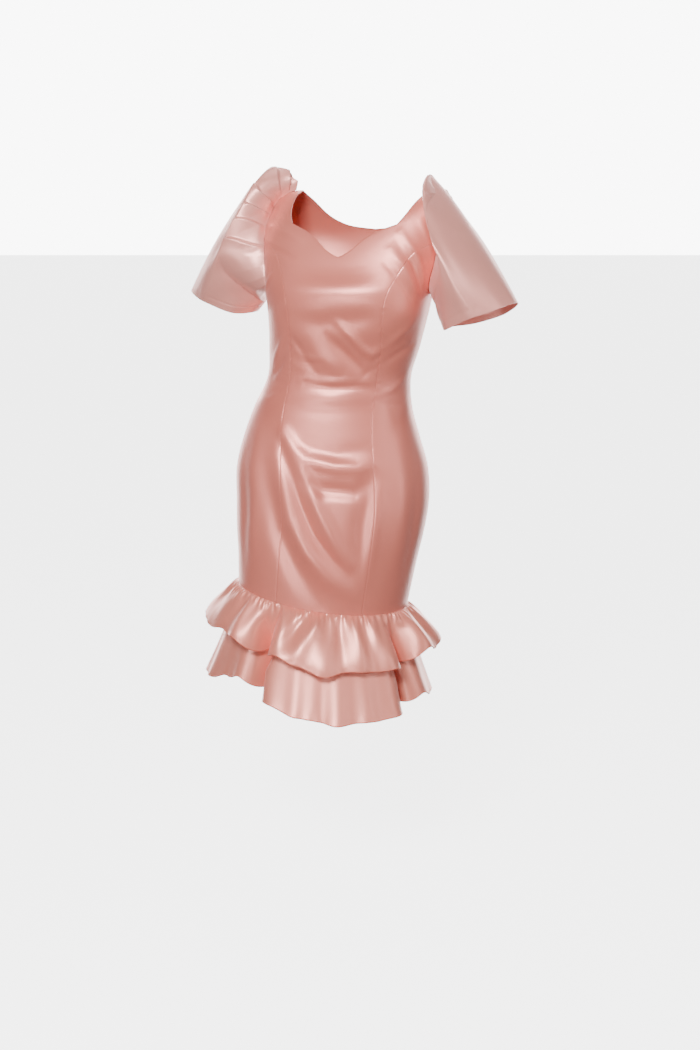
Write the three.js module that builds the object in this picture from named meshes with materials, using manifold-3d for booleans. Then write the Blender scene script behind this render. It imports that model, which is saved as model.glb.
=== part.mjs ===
// A worn filipiniana dress: a princess-seamed satin sheath with butterfly sleeves and a gathered
// ruffle of two tiers. Millimetres, +Z up. The front faces -Y, and +X is the wearer's left.
// The origin lies between the two shoulder seams, where the wearer carries the dress.
import * as THREE from 'three';
import Module from 'manifold-3d';
import { mergeVertices } from 'three/addons/utils/BufferGeometryUtils.js';

// Driving dimensions
const WALL = 1.6; // cloth thickness
const SEAM_GAP = 0.3; // between two pieces along a seam
const SATIN = { color: 0xe0a79f, roughness: 0.38, metalness: 0 };
const METAL = { color: 0xd9a79c, roughness: 0.35, metalness: 0.6 };

// Grid counts of the panels
const SIDE_SEAM_ROWS = 20; // from the ruffle seam up to the armhole
const ARMHOLE_ROWS = 6; // from there up to the shoulder
const SHOULDER_COLUMNS = 2;
const NECK_COLUMNS = 3; // from the shoulder to the corner of the front neckline
const VEE_COLUMNS = 4; // from that corner to the point of the V
const SIDE_PANEL_COLUMNS = 6;
const BACK_COLUMNS = 10;
// How the inside of the centre front's grid is evened out; levelScale is degrees round for each level
const EVENING = { rounds: 150, levelScale: 26 };

const rad = THREE.MathUtils.degToRad;

// Turns rows of numbers into objects whose keys are the words of `names`.
function rows(names, values) {
  const keys = names.split(' ');
  return values.map((row) => Object.fromEntries(keys.map((key, i) => [key, row[i]])));
}

// Horizontal sections of the dress form, from the ruffle seam (level 0) up to the shoulder ridge.
// x and y are the middle, yaw the turn of the torso, half the half width, front and back the depths,
// and square the exponent of the outline (2 is an ellipse).
const SECTIONS = rows('z x y yaw half front back square', [
  [-719, -31, -16, 4, 153, 112, 112, 2.1],
  [-647, -23, -12, 4, 161, 118, 121, 2.15],
  [-591, -17, -8, 4, 169, 121, 128, 2.2],
  [-536, -13, -4, 4, 173, 121, 135, 2.2],
  [-481, -14, -1, 4, 171, 117, 137, 2.2],
  [-427, -15, 1, 5, 157, 109, 129, 2.15],
  [-373, -12, 0, 6, 140, 99, 111, 2.1],
  [-320, -1, -3, 8, 127, 93, 94, 2.1],
  [-267, 8, -7, 11, 133, 98, 89, 2.2],
  [-213, 15, -10, 14, 139, 112, 93, 2.5],
  [-170, 18, -9, 15, 146, 112, 100, 2.5],
  [-122, 25, -5, 17, 159, 100, 104, 2.35],
  [-72, 29, 0, 20, 168, 84, 99, 2.25],
  [-36, 35, 2, 24, 166, 64, 79, 2.15],
  [-12, 40, 2, 26.5, 162, 36, 48, 2.05],
  [0, 43, 2, 27, 142, 0.15, 0.15, 2],
]);
const TOP = SECTIONS.length - 1; // level of the shoulder ridge
const HEM = {
  roll: 0.135, // the ruffle seam sinks by this share of x towards the wearer's left
  swag: 9, // and it stands this much higher at both sides than at the front and back
  levels: 2.5, // both have faded out this many levels up
};

// Where the rows of the panels meet the princess seam, the side seam and the centre back.
const SEAM_ROWS = rows('princessAngle princessLevel sideLevel backLevel', [
  [28.7, 0, 0, 0],
  [27.5, 1, 1, 1],
  [26.2, 2, 2, 2],
  [25.9, 3, 3, 3],
  [26.1, 4, 4, 4],
  [28.5, 5, 5, 5],
  [32.3, 6, 6, 6],
  [35.4, 7, 7, 6.9],
  [34, 8, 7.8, 7.7],
  [31.6, 9, 8.6, 8.5],
  [32.3, 10, 9.3, 9.2],
  [40.8, 11, 9.65, 9.7],
  [49.6, 11.45, 9.8, 9.9],
  [71, 11.75, 9.9, 10],
]);

// Cut edges of the bodice, as an angle round the section (0 at the front) and a level.
const FRONT_ARMHOLE_LOW = rows('angle level', [
  [90, 9.9], [80, 10.05], [73, 10.5], [70, 11.1], [71, 11.75],
]);
const FRONT_ARMHOLE_HIGH = rows('angle level', [
  [71, 11.75], [73, 12.6], [73, 13.3], [71.5, 14.1], [70, TOP],
]);
const BACK_ARMHOLE = rows('angle level', [
  [90, 9.9], [98, 10.2], [104, 11.2], [106, 12.6], [107, 14], [110, TOP],
]);
const SHOULDER_EDGE = 70;
const NECK_EDGE = 58.5;
const FRONT_NECK = rows('angle level', [[NECK_EDGE, TOP], [46.5, 14], [39, 13], [32.5, 12.42]]);
const VEE = rows('angle level', [[32.5, 12.42], [20, 12.12], [12.5, 11.84], [6, 11.48], [0, 11.24]]);
const BACK_NECK = rows('angle level', [
  [180 - NECK_EDGE, TOP], [133, 14], [147, 12.9], [163, 12.3], [180, 12.1],
]);

// The largest drape folds: soft ridges (height above 0) and troughs between two points of the form.
const FOLDS = rows('fromAngle fromLevel toAngle toLevel width height', [
  [-44, 4.6, 6, 0.5, 15, 5],
  [-36, 4.4, 20, 1.0, 13, -4.5],
  [-30, 4.7, 30, 2.1, 15, 4],
  [-46, 3.6, -16, 0.2, 14, -4],
  [-30, 6.25, 34, 6.25, 11, -3.5],
  [-34, 6.75, 30, 6.7, 12, 3],
  [-4, 8.7, 34, 7.6, 9, 4.5],
  [-14, 8.5, 28, 7.0, 9, -3.5],
  [48, 11.2, 30, 9.8, 8, 2.5],
  [148, 7.3, 212, 7.5, 12, -4],
  [150, 6.6, 208, 6.8, 12, 3.5],
  [150, 4.2, 172, 0.6, 15, 4],
  [212, 4.4, 192, 0.8, 15, -4],
]);

// Every column of a table at a fractional row, on a smooth curve through its rows.
function atRow(table, row) {
  const last = table.length - 1;
  const low = THREE.MathUtils.clamp(Math.floor(row), 0, last - 1);
  const f = row - low;
  const near = (step) => table[THREE.MathUtils.clamp(low + step, 0, last)];
  const [a, b, c, d] = [-1, 0, 1, 2].map(near);
  const blend = (p, q, r, s) =>
    q + 0.5 * f * (r - p + f * (2 * p - 5 * q + 4 * r - s + f * (3 * (q - r) + s - p)));
  return Object.fromEntries(Object.keys(b).map((key) => [key, blend(a[key], b[key], c[key], d[key])]));
}

// A point of the plain dress form, before its folds.
function formPoint(angle, level) {
  const s = atRow(SECTIONS, level);
  const sin = Math.sin(rad(angle));
  const cos = Math.cos(rad(angle));
  const power = 2 / s.square;
  const across = s.half * Math.sign(sin) * Math.abs(sin) ** power;
  const depth = (cos > 0 ? -s.front : s.back) * Math.abs(cos) ** power;
  const turn = rad(s.yaw);
  const fade = Math.max(1 - level / HEM.levels, 0) ** 2;
  return new THREE.Vector3(
    s.x + across * Math.cos(turn) + depth * Math.sin(turn),
    s.y - across * Math.sin(turn) + depth * Math.cos(turn),
    s.z + fade * (HEM.swag * (across / s.half) ** 2 - HEM.roll * across),
  );
}

function formNormal(angle, level, point) {
  if (level > TOP - 0.01) return new THREE.Vector3(0, 0, 1);
  const step = 0.05;
  const round = point(angle + 1, level).sub(point(angle - 1, level));
  const up = point(angle, Math.min(level + step, TOP)).sub(point(angle, Math.max(level - step, 0)));
  return round.cross(up).normalize();
}

// Height of the drape folds over the form at a point.
function foldHeight(angle, level) {
  const here = formPoint(angle, level);
  let height = 0;
  for (const fold of FOLDS) {
    const start = formPoint(fold.fromAngle, fold.fromLevel);
    const run = formPoint(fold.toAngle, fold.toLevel).sub(start);
    const way = here.clone().sub(start);
    const share = THREE.MathUtils.clamp(way.dot(run) / run.lengthSq(), 0, 1);
    const off = way.addScaledVector(run, -share).length() / fold.width;
    height += fold.height * Math.sin(Math.PI * (0.12 + 0.76 * share)) * Math.exp(-off * off);
  }
  return height;
}

function clothPoint(angle, level) {
  const normal = formNormal(angle, level, formPoint);
  return formPoint(angle, level).addScaledVector(normal, foldHeight(angle, level));
}

// A table's rows sampled evenly from its first to its last.
const sampled = (table, count) =>
  Array.from({ length: count + 1 }, (_, i) => atRow(table, i * (table.length - 1) / count));
const mirrored = (curve) => curve.map((p) => ({ angle: -p.angle, level: p.level })).reverse();
const joined = (...curves) => curves.reduce((a, b) => a.concat(b.slice(1)));

// Whether the two halves of a cell face more alike, or as much, when it is cut from a to c, not b to d.
function bendsLess(a, b, c, d) {
  const facing = (p, q, r) => q.clone().sub(p).cross(r.clone().sub(q)).normalize();
  const ease = 0.02;
  return facing(a, b, c).dot(facing(a, c, d)) > facing(b, c, d).dot(facing(b, d, a)) - ease;
}

// A closed wall between an outer and an inner grid of points. With `closed`, its last column meets its
// first.
function wallGeometry(outer, inner, closed) {
  const height = outer.length;
  const width = outer[0].length;
  const positions = [...outer.flat(), ...inner.flat()].flatMap((p) => [p.x, p.y, p.z]);
  const index = [];
  const O = (i, j) => i * width + (j % width);
  const I = (i, j) => O(i, j) + height * width;
  const quad = (a, b, c, d) => index.push(a, b, c, a, c, d);
  const lastColumn = closed ? width : width - 1;
  for (let i = 0; i < height - 1; i++) {
    for (let j = 0; j < lastColumn; j++) {
      const next = (j + 1) % width;
      if (bendsLess(outer[i][j], outer[i][next], outer[i + 1][next], outer[i + 1][j])) {
        quad(O(i, j), O(i, j + 1), O(i + 1, j + 1), O(i + 1, j));
        quad(I(i, j), I(i + 1, j), I(i + 1, j + 1), I(i, j + 1));
      } else {
        quad(O(i, j + 1), O(i + 1, j + 1), O(i + 1, j), O(i, j));
        quad(I(i + 1, j), I(i + 1, j + 1), I(i, j + 1), I(i, j));
      }
    }
  }
  for (let j = 0; j < lastColumn; j++) {
    quad(I(0, j), I(0, j + 1), O(0, j + 1), O(0, j));
    quad(O(height - 1, j), O(height - 1, j + 1), I(height - 1, j + 1), I(height - 1, j));
  }
  for (let i = 0; i < height - 1 && !closed; i++) {
    quad(I(i, 0), O(i, 0), O(i + 1, 0), I(i + 1, 0));
    quad(I(i, width - 1), I(i + 1, width - 1), O(i + 1, width - 1), O(i, width - 1));
  }
  const geometry = new THREE.BufferGeometry();
  geometry.setAttribute('position', new THREE.Float32BufferAttribute(positions, 3));
  geometry.setIndex(index);
  return geometry;
}

// Moves a grid's edge points inwards by half the seam gap, square to the edge, on the outer and the inner
// side alike.
function parted(outer, inner) {
  const lastRow = outer.length - 1;
  const lastColumn = outer[0].length - 1;
  const clamp = THREE.MathUtils.clamp;
  const near = (i, j) => outer[clamp(i, 0, lastRow)][clamp(j, 0, lastColumn)];
  const shifts = outer.map((line, i) => line.map((point, j) => {
    const shift = new THREE.Vector3();
    const towards = (next, a, b) => {
      const along = b.clone().sub(a).normalize();
      const way = next.clone().sub(point);
      way.addScaledVector(along, -way.dot(along));
      shift.addScaledVector(way.normalize(), SEAM_GAP / 2);
    };
    if (i === 0) towards(near(1, j), near(i, j - 1), near(i, j + 1));
    if (i === lastRow) towards(near(i - 1, j), near(i, j - 1), near(i, j + 1));
    if (j === 0) towards(near(i, 1), near(i - 1, j), near(i + 1, j));
    if (j === lastColumn) towards(near(i, j - 1), near(i - 1, j), near(i + 1, j));
    return shift;
  }));
  for (const grid of [outer, inner]) {
    grid.forEach((line, i) => line.forEach((point, j) => point.add(shifts[i][j])));
  }
}

// Evens out the inside of a grid of [angle, level] places, so that it doesn't fold where its edges turn.
function evenedOut(places) {
  const grid = places.map((line) => line.map(([angle, level]) => [angle, level * EVENING.levelScale]));
  const dot = (p, q) => p[0] * q[0] + p[1] * q[1];
  const halfStep = (p, q) => [(p[0] - q[0]) / 2, (p[1] - q[1]) / 2];
  for (let round = 0; round < EVENING.rounds; round++) {
    for (let i = 1; i < grid.length - 1; i++) {
      for (let j = 1; j < grid[i].length - 1; j++) {
        const [below, here, above] = [grid[i - 1], grid[i], grid[i + 1]];
        const across = halfStep(here[j + 1], here[j - 1]);
        const up = halfStep(above[j], below[j]);
        const [a, b, c] = [dot(up, up), dot(across, up), dot(across, across)];
        here[j] = [0, 1].map((k) => {
          const twist = (above[j + 1][k] - above[j - 1][k] - below[j + 1][k] + below[j - 1][k]) / 4;
          const along = a * (here[j + 1][k] + here[j - 1][k]) + c * (above[j][k] + below[j][k]);
          return (along - 2 * b * twist) / (2 * (a + c));
        });
      }
    }
  }
  return grid.map((line) => line.map(([angle, level]) => [angle, level / EVENING.levelScale]));
}

// One panel of the form, stretched between four edges of {angle, level} points. The shape of its top
// edge is felt from a share of its height upwards, which `topFrom` gives at its middle and its sides.
function panelGrids({ bottom, top, left, right, topFrom, even }) {
  const corner = [bottom[0], bottom.at(-1), top[0], top.at(-1)];
  const stretched = left.map((l, i) =>
    bottom.map((b, j) => {
      const u = j / (bottom.length - 1);
      const from = topFrom.middle + (topFrom.sides - topFrom.middle) * Math.abs(2 * u - 1);
      const v = Math.max((i / (left.length - 1) - from) / (1 - from), 0);
      const mix = (key) =>
        (1 - v) * b[key] + v * top[j][key] + (1 - u) * l[key] + u * right[i][key]
        - (1 - v) * ((1 - u) * corner[0][key] + u * corner[1][key])
        - v * ((1 - u) * corner[2][key] + u * corner[3][key]);
      return [mix('angle'), mix('level')];
    }));
  const places = even ? evenedOut(stretched) : stretched;
  const outer = places.map((line) => line.map(([angle, level]) => clothPoint(angle, level)));
  const inner = places.map((line, i) => line.map(([angle, level], j) =>
    outer[i][j].clone().addScaledVector(formNormal(angle, level, clothPoint), -WALL)));
  return { outer, inner };
}

const root = new THREE.Group();

function addMesh(name, geometry, finish) {
  const material = new THREE.MeshStandardMaterial({ ...finish, side: THREE.DoubleSide });
  const mesh = new THREE.Mesh(geometry, material);
  mesh.name = name;
  root.add(mesh);
}

function addPanel(name, edges) {
  const { outer, inner } = panelGrids(edges);
  parted(outer, inner);
  addMesh(name, wallGeometry(outer, inner, false), SATIN);
}

// Edges that neighbouring panels share, from the ruffle seam upwards.
const evenly = (count, place) => Array.from({ length: count + 1 }, (_, i) => place(i / count));
const seamRows = sampled(SEAM_ROWS, SIDE_SEAM_ROWS);
const princessSeam = seamRows.map((row) => ({ angle: row.princessAngle, level: row.princessLevel }));
const sideSeam = seamRows.map((row) => ({ angle: 90, level: row.sideLevel }));
const centreBack = joined(
  seamRows.map((row) => ({ angle: 180, level: row.backLevel })),
  sampled([{ angle: 180, level: SEAM_ROWS.at(-1).backLevel }, BACK_NECK.at(-1)], ARMHOLE_ROWS),
);
const frontArmholeHigh = sampled(FRONT_ARMHOLE_HIGH, ARMHOLE_ROWS);
const frontArmholeLow = sampled(FRONT_ARMHOLE_LOW, SIDE_PANEL_COLUMNS);
const backArmhole = sampled(BACK_ARMHOLE, ARMHOLE_ROWS);
const levelEdge = (level, count, from, to) =>
  evenly(count, (f) => ({ angle: from + f * (to - from), level }));

// The centre front: its sides are the princess seams and the upper armholes, and its top edge is the
// shoulders and the neck.
function centreFrontEdges() {
  const leftSide = joined(princessSeam, frontArmholeHigh);
  const halfTop = joined(
    sampled(VEE, VEE_COLUMNS).reverse(),
    sampled(FRONT_NECK, NECK_COLUMNS).reverse(),
    levelEdge(TOP, SHOULDER_COLUMNS, NECK_EDGE, SHOULDER_EDGE),
  );
  const top = joined(mirrored(halfTop), halfTop);
  const edge = princessSeam[0].angle;
  return {
    bottom: levelEdge(0, top.length - 1, -edge, edge),
    top,
    left: mirrored(leftSide).reverse(),
    right: leftSide,
    topFrom: { middle: 0.55, sides: 0.77 },
    even: true,
  };
}

// A side front panel of the wearer's left; its neighbour on the right is its mirror image in angles.
function sideFrontEdges() {
  return {
    bottom: levelEdge(0, SIDE_PANEL_COLUMNS, princessSeam[0].angle, 90),
    top: frontArmholeLow.slice().reverse(),
    left: princessSeam,
    right: sideSeam,
    topFrom: { middle: 0.75, sides: 0.75 },
  };
}

function backEdges() {
  const top = joined(
    levelEdge(TOP, SHOULDER_COLUMNS, 180 - SHOULDER_EDGE, 180 - NECK_EDGE),
    sampled(BACK_NECK, BACK_COLUMNS - SHOULDER_COLUMNS),
  );
  return {
    bottom: levelEdge(0, BACK_COLUMNS, 90, 180),
    top,
    left: joined(sideSeam, backArmhole),
    right: centreBack,
    topFrom: { middle: 0.6, sides: 0.6 },
  };
}

const mirrorEdges = ({ bottom, top, left, right, topFrom }) => ({
  bottom: mirrored(bottom),
  top: mirrored(top),
  left: mirrored(right).reverse(),
  right: mirrored(left).reverse(),
  topFrom,
});

addPanel('front_centre', centreFrontEdges());
addPanel('front_side_left', sideFrontEdges());
addPanel('front_side_right', mirrorEdges(sideFrontEdges()));
addPanel('back_left', backEdges());
addPanel('back_right', mirrorEdges(backEdges()));

// Every column of a table of stations at a share (0 to 1) round a closed ring, on a smooth curve.
function ringAt(stations, share) {
  const count = stations.length;
  const low = stations.findLastIndex((station) => station.share <= share);
  const near = [-1, 0, 1, 2].map((step) => {
    const place = low + step;
    const turns = Math.floor(place / count);
    const station = stations[place - turns * count];
    return { ...station, share: station.share + turns };
  });
  const span = near[2].share - near[1].share;
  const f = (share - near[1].share) / span;
  const slope = (k, key) => {
    const [before, after] = [near[k - 1], near[k + 1]];
    return (after[key] - before[key]) * span / (after.share - before.share);
  };
  return Object.fromEntries(Object.keys(stations[0]).map((key) => {
    const [m1, m2] = [slope(1, key), slope(2, key)];
    const rise = near[2][key] - near[1][key];
    return [key, near[1][key] + f * (m1 + f * (3 * rise - 2 * m1 - m2 + f * (m1 + m2 - 2 * rise)))];
  }));
}

// Butterfly sleeve, seen from its shoulder point: out from the body, to the front, and up. The ridge is
// the crease that the pleats run to, and the hem is the sleeve's edge. Shares run from the underarm up
// the front to the shoulder (0.5) and down the back. Puff lifts the cloth between armhole and ridge.
const SLEEVE = rows('share ridgeOut ridgeFront ridgeUp hemOut hemFront hemUp puff bulge', [
  [0, 44, 4, -196, 62, 2, -214, 0, 0],
  [0.1, 66, 48, -172, 88, 48, -220, 6, 2],
  [0.2, 96, 80, -130, 134, 59, -212, 8, 3],
  [0.3, 86, 88, -86, 160, 48, -208, 11, 6],
  [0.4, 58, 72, -30, 181, 28, -203, 14, 8],
  [0.455, 40, 46, 14, 187, 12, -200, 12, 10],
  [0.5, 27, 4, 39, 190, -4, -198, 10, 12],
  [0.56, 33, -28, 2, 187, -20, -198, 8, 10],
  [0.66, 58, -44, -47, 176, -38, -201, 9, 6],
  [0.76, 86, -54, -92, 155, -55, -206, 8, 4],
  [0.84, 94, -58, -134, 128, -62, -212, 6, 3],
  [0.92, 66, -38, -172, 88, -42, -216, 4, 2],
]);
const SLEEVE_MIDDLE = -105; // height of the point that puffs and pleats stand away from
// How each arm holds its sleeve: its turn past the torso's own yaw, its place off the shoulder point, how
// far its top is pressed down, and how much the hem rises in all and for each millimetre outwards.
const SLEEVE_POSE = {
  left: { side: 1, swing: 9, out: -34, sink: 15, rise: 0, tilt: 0.24 },
  right: { side: -1, swing: -6, out: 17, sink: 0, rise: 12, tilt: 0.2 },
};
const SLEEVE_TOP = { share: 0.5, width: 0.07 }; // where round the sleeve its top is, for the sink
const HEM_PIVOT = 125; // distance out at which the tilt leaves the hem where it is
const SLEEVE_WALL = 1.1; // a single layer, so that the pleats can stand close
const SLEEVE_GAP = 0.5; // between the armhole's edge and the sleeve
const SLEEVE_STEP = 1.6; // the sleeve's outside over the bodice's outside along the armhole
const PLEAT_DEPTH = 4.5;
const FRONT_PLEATS = { from: 0.19, to: 0.5, count: 7 };
const BACK_PLEATS = { from: 0.5, to: 0.81, count: 6 };
const PLEAT_STEPS = [0, 0.42, 0.84]; // columns inside one pleat: foot, slope and edge
const UNDERARM_COLUMNS = 5; // on each side of the underarm
const CAP_ROWS = 4; // armhole to ridge
const DROP_ROWS = 5; // ridge to hem

// Shares round the sleeve where its columns lie, and how high each stands in its pleat.
function sleeveColumns() {
  const columns = [];
  for (let j = 0; j < UNDERARM_COLUMNS; j++) {
    columns.push({ share: FRONT_PLEATS.from * j / UNDERARM_COLUMNS, lift: 0 });
  }
  for (const pleats of [FRONT_PLEATS, BACK_PLEATS]) {
    const width = (pleats.to - pleats.from) / pleats.count;
    for (let k = 0; k < pleats.count; k++) {
      for (const step of PLEAT_STEPS) {
        columns.push({
          share: pleats.from + (k + step) * width,
          lift: (pleats === FRONT_PLEATS ? step : 1 - step) * PLEAT_DEPTH,
        });
      }
    }
  }
  for (let j = 0; j < UNDERARM_COLUMNS; j++) {
    columns.push({ share: BACK_PLEATS.to + (1 - BACK_PLEATS.to) * j / UNDERARM_COLUMNS, lift: 0 });
  }
  return columns;
}

// The sleeve's first points, just off the bodice's armhole edge, from the underarm round the front, the
// shoulder and the back. Each has the inner point that continues the bodice's wall.
function armholePoints(side) {
  const front = joined(frontArmholeLow, frontArmholeHigh);
  const back = backArmhole.slice(1, -1).reverse();
  const shares = [...front.map((_, i) => 0.5 * i / (front.length - 1)),
    ...back.map((_, i) => 0.5 + 0.5 * (i + 1) / (back.length + 1)), 1];
  const ring = [...front, ...back].map((p) => ({
    outer: clothPoint(side * p.angle, p.level),
    normal: formNormal(side * p.angle, p.level, clothPoint),
  }));
  const count = ring.length;
  const middle = ring.reduce((sum, p) => sum.addScaledVector(p.outer, 1 / count), new THREE.Vector3());
  const points = ring.map(({ outer, normal }, i) => {
    const run = ring[(i + 1) % count].outer.clone().sub(ring[(i + count - 1) % count].outer);
    const away = run.cross(normal).normalize();
    away.multiplyScalar(Math.sign(away.dot(middle.clone().sub(outer))));
    const start = outer.clone().addScaledVector(away, SLEEVE_GAP).addScaledVector(normal, SLEEVE_STEP);
    return { outer: start, inner: start.clone().addScaledVector(normal, -SLEEVE_WALL) };
  });
  return [...points, points[0]].map((p, i) => ({ ...p, share: shares[i] }));
}

function armholeAt(ring, share) {
  const high = Math.max(ring.findIndex((p) => p.share > share), 1);
  const [a, b] = [ring[high - 1], ring[high]];
  const f = (share - a.share) / (b.share - a.share);
  return { outer: a.outer.clone().lerp(b.outer, f), inner: a.inner.clone().lerp(b.inner, f) };
}

// Outer and inner points of a sleeve, row by row from the armhole to the hem. On the wearer's right
// the columns run the other way round, so that the walls face out on both.
function sleeveGrids({ side, swing, out, sink, rise, tilt }) {
  const ring = armholePoints(side);
  const origin = formPoint(side * SHOULDER_EDGE, TOP);
  const turn = rad(SECTIONS[TOP].yaw + swing);
  const forward = new THREE.Vector3(-Math.sin(turn), -Math.cos(turn), 0);
  const outward = new THREE.Vector3(Math.cos(turn), -Math.sin(turn), 0).multiplyScalar(side);
  const place = (sideways, front, up) => origin.clone().addScaledVector(outward, out + sideways)
    .addScaledVector(forward, front).add(new THREE.Vector3(0, 0, up));
  const last = CAP_ROWS + DROP_ROWS;
  const outer = Array.from({ length: last + 1 }, () => []);
  const firstInner = [];
  const columns = sleeveColumns();
  for (const corner of ring.slice(0, -1)) {
    const apart = columns.map((column) => Math.abs(column.share - corner.share));
    columns[apart.indexOf(Math.min(...apart))].seamShare = corner.share;
  }
  for (const { share, lift, seamShare = share } of columns) {
    const at = ringAt(SLEEVE, share);
    const start = armholeAt(ring, seamShare);
    const press = sink * Math.exp(-(((share - SLEEVE_TOP.share) / SLEEVE_TOP.width) ** 2));
    const ridge = place(at.ridgeOut, at.ridgeFront, at.ridgeUp - press);
    const hem = place(at.hemOut, at.hemFront, at.hemUp + rise + tilt * (at.hemOut - HEM_PIVOT));
    const middle = place(0.45 * at.hemOut, 0, SLEEVE_MIDDLE);
    const away = (p) => p.clone().sub(middle).normalize();
    const bent = (from, to, bend, rise) => {
      const control = from.clone().lerp(to, bend);
      return new THREE.QuadraticBezierCurve3(from, control.addScaledVector(away(control), 2 * rise), to);
    };
    const cap = bent(start.outer, ridge, 0.5, at.puff);
    const drop = bent(ridge, hem, 0.4, at.bulge);
    for (let i = 0; i <= last; i++) {
      const f = i <= CAP_ROWS ? i / CAP_ROWS : (i - CAP_ROWS) / DROP_ROWS;
      const point = (i <= CAP_ROWS ? cap : drop).getPoint(f);
      const strength = i <= CAP_ROWS ? Math.sin(Math.PI * 0.5 * f) : Math.max(1 - 2.2 * f, 0);
      outer[i].push(point.addScaledVector(away(point), lift * strength));
    }
    firstInner.push(start.inner);
  }
  if (side < 0) [...outer, firstInner].forEach((line) => line.reverse());
  const normals = ringNormals(outer);
  const inner = outer.map((line, i) =>
    (i === 0 ? firstInner : line.map((p, j) => p.clone().addScaledVector(normals[i][j], -SLEEVE_WALL))));
  return { outer: outer.reverse(), inner: inner.reverse() };
}

// Unit normals of a grid whose columns close on themselves and whose rows run downwards: the mean of
// the four cells round each point, which holds at a sharp crease too.
function ringNormals(grid) {
  const width = grid[0].length;
  const last = grid.length - 1;
  return grid.map((line, i) => line.map((point, j) => {
    const sum = new THREE.Vector3();
    for (const [rowStep, columnStep] of [[-1, -1], [-1, 1], [1, -1], [1, 1]]) {
      if (i + rowStep < 0 || i + rowStep > last) continue;
      const down = grid[i + rowStep][j].clone().sub(point).multiplyScalar(rowStep);
      const round = line[(j + columnStep + width) % width].clone().sub(point).multiplyScalar(columnStep);
      sum.add(down.cross(round).normalize());
    }
    return sum.normalize();
  }));
}

function addSleeve(name, pose) {
  const { outer, inner } = sleeveGrids(pose);
  addMesh(name, wallGeometry(outer, inner, true), SATIN);
}

addSleeve('sleeve_left', SLEEVE_POSE.left);
addSleeve('sleeve_right', SLEEVE_POSE.right);

// Ruffle tiers. Both hang from the seam at level 0: the upper one flares out at once, the lower one
// falls inside it and spreads towards its hem.
const UPPER = { length: 100, flare: 42, bow: 1.35, rows: 6, halfColumns: 76, inset: 0 };
const LOWER = { length: 182, flare: 46, spread: 1.25, rows: 6, halfColumns: 52, inset: 2.4 };
const TIERS = {
  rowPower: 1.2, // above 1, the rows lie closer together near the seam
  lean: 1.1, // how much a flared stretch of cloth shortens the drop of its tier
  clearance: 6, // sideways between the two tiers
  near: 2.5, // degrees to each side within which the upper tier holds the lower one in
  ease: 4, // mm below the upper hem where the lower tier starts to spread again
};
// Gathers of the upper tier: soft ridges that are highest a fifth of the way down, and uneven.
const GATHERS = {
  count: 30, height: 5, peak: 0.22, mean: 0.8, uneven: 0.35, unevenWaves: 5,
  drift: 1.1, driftWaves: 3, sway: 0.8, swayWaves: 7,
};
// Lobes of the tiers: an outward swell (depth above 0) or a valley at an angle round the seam, and how
// much longer the tier hangs there.
const UPPER_LOBES = rows('angle width depth longer', [
  [-92, 22, 22, -8], [-62, 10, 0, -16], [-47, 8, 14, -10], [-31, 6.5, -41, -14], [-20, 6, 12, -6],
  [-9, 8, 12, 2], [4, 8, 18, 16], [22, 9, 8, 2], [42, 6, 12, 2], [54, 6, -39, -10], [68, 10, 16, -14],
  [92, 14, 20, -8], [122, 9, -24, 0], [146, 12, 18, 4], [170, 8, -22, 0], [194, 12, 20, 4],
  [218, 8, -24, 0], [240, 12, 14, 0],
]);
const LOWER_LOBES = rows('angle width depth longer', [
  [-88, 18, 18, 0], [-62, 9, -4, -20], [-48, 8, 0, -30], [-34, 7.5, -56, -22], [-22, 7, 16, -6],
  [-8, 9, 22, 8], [10, 9, 24, 14], [28, 9, 20, 6], [42, 7, 16, 0], [54, 7, -58, -26], [70, 9, 0, -24],
  [90, 14, 2, -14], [124, 9, -30, 0], [150, 14, 18, 6], [178, 8, -26, 0], [205, 14, 20, 6],
  [232, 8, -28, 0], [251, 10, 6, -8],
]);
// Sideways lean of both tiers 100 mm below the seam, which lets a lobe hang over the valley beside it.
const LEANS = rows('angle width shift', [
  [-24, 6, -13], [-38, 6, 4], [46, 6, 11], [60, 5, -4],
  [158, 6, -5], [184, 6, 5], [206, 6, -5], [230, 6, 5],
]);
const LEAN = { depth: 100, most: 1.2, power: 1.4 };

// A column of a table, each row a soft swell of its width round its angle.
function swells(table, angle, key) {
  return table.reduce((sum, row) => {
    const off = ((angle - row.angle + 900) % 360 - 180) / row.width;
    return sum + row[key] * Math.exp(-off * off);
  }, 0);
}

function gatherHeight(angle, share) {
  const g = GATHERS;
  const turn = rad(angle + 90);
  const phase = g.count * turn + g.drift * Math.sin(g.driftWaves * turn + 1)
    + g.sway * Math.sin(g.swayWaves * turn + 2);
  const height = g.height * (g.mean + g.uneven * Math.sin(g.unevenWaves * turn + 0.7));
  const strength = share / g.peak * Math.exp(1 - share / g.peak) * Math.sqrt(1 - share);
  return height * (0.5 - 0.5 * Math.cos(phase)) * strength;
}

// How far the upper tier stands out at a share of its length, without its gathers.
function upperFlare(angle, share) {
  const flare = UPPER.flare + swells(UPPER_LOBES, angle, 'depth');
  return flare * (1 - (1 - share) ** UPPER.bow);
}

const upperReach = (angle, share) => upperFlare(angle, share) + gatherHeight(angle, share);

// The lower tier spreads on its own line, and never past the inside of the upper tier.
function lowerReach(angle, share) {
  const flare = LOWER.flare + swells(LOWER_LOBES, angle, 'depth');
  const above = Math.min(share * LOWER.length / UPPER.length, 1);
  const hold = Math.min(...[-1, 0, 1].map((step) => upperFlare(angle + step * TIERS.near, above)));
  const limit = hold - TIERS.clearance * Math.min(4 * share, 1);
  const room = Math.max(share * LOWER.length - UPPER.length - TIERS.ease, 0);
  return Math.min(flare * share ** LOWER.spread, limit + room);
}

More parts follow.
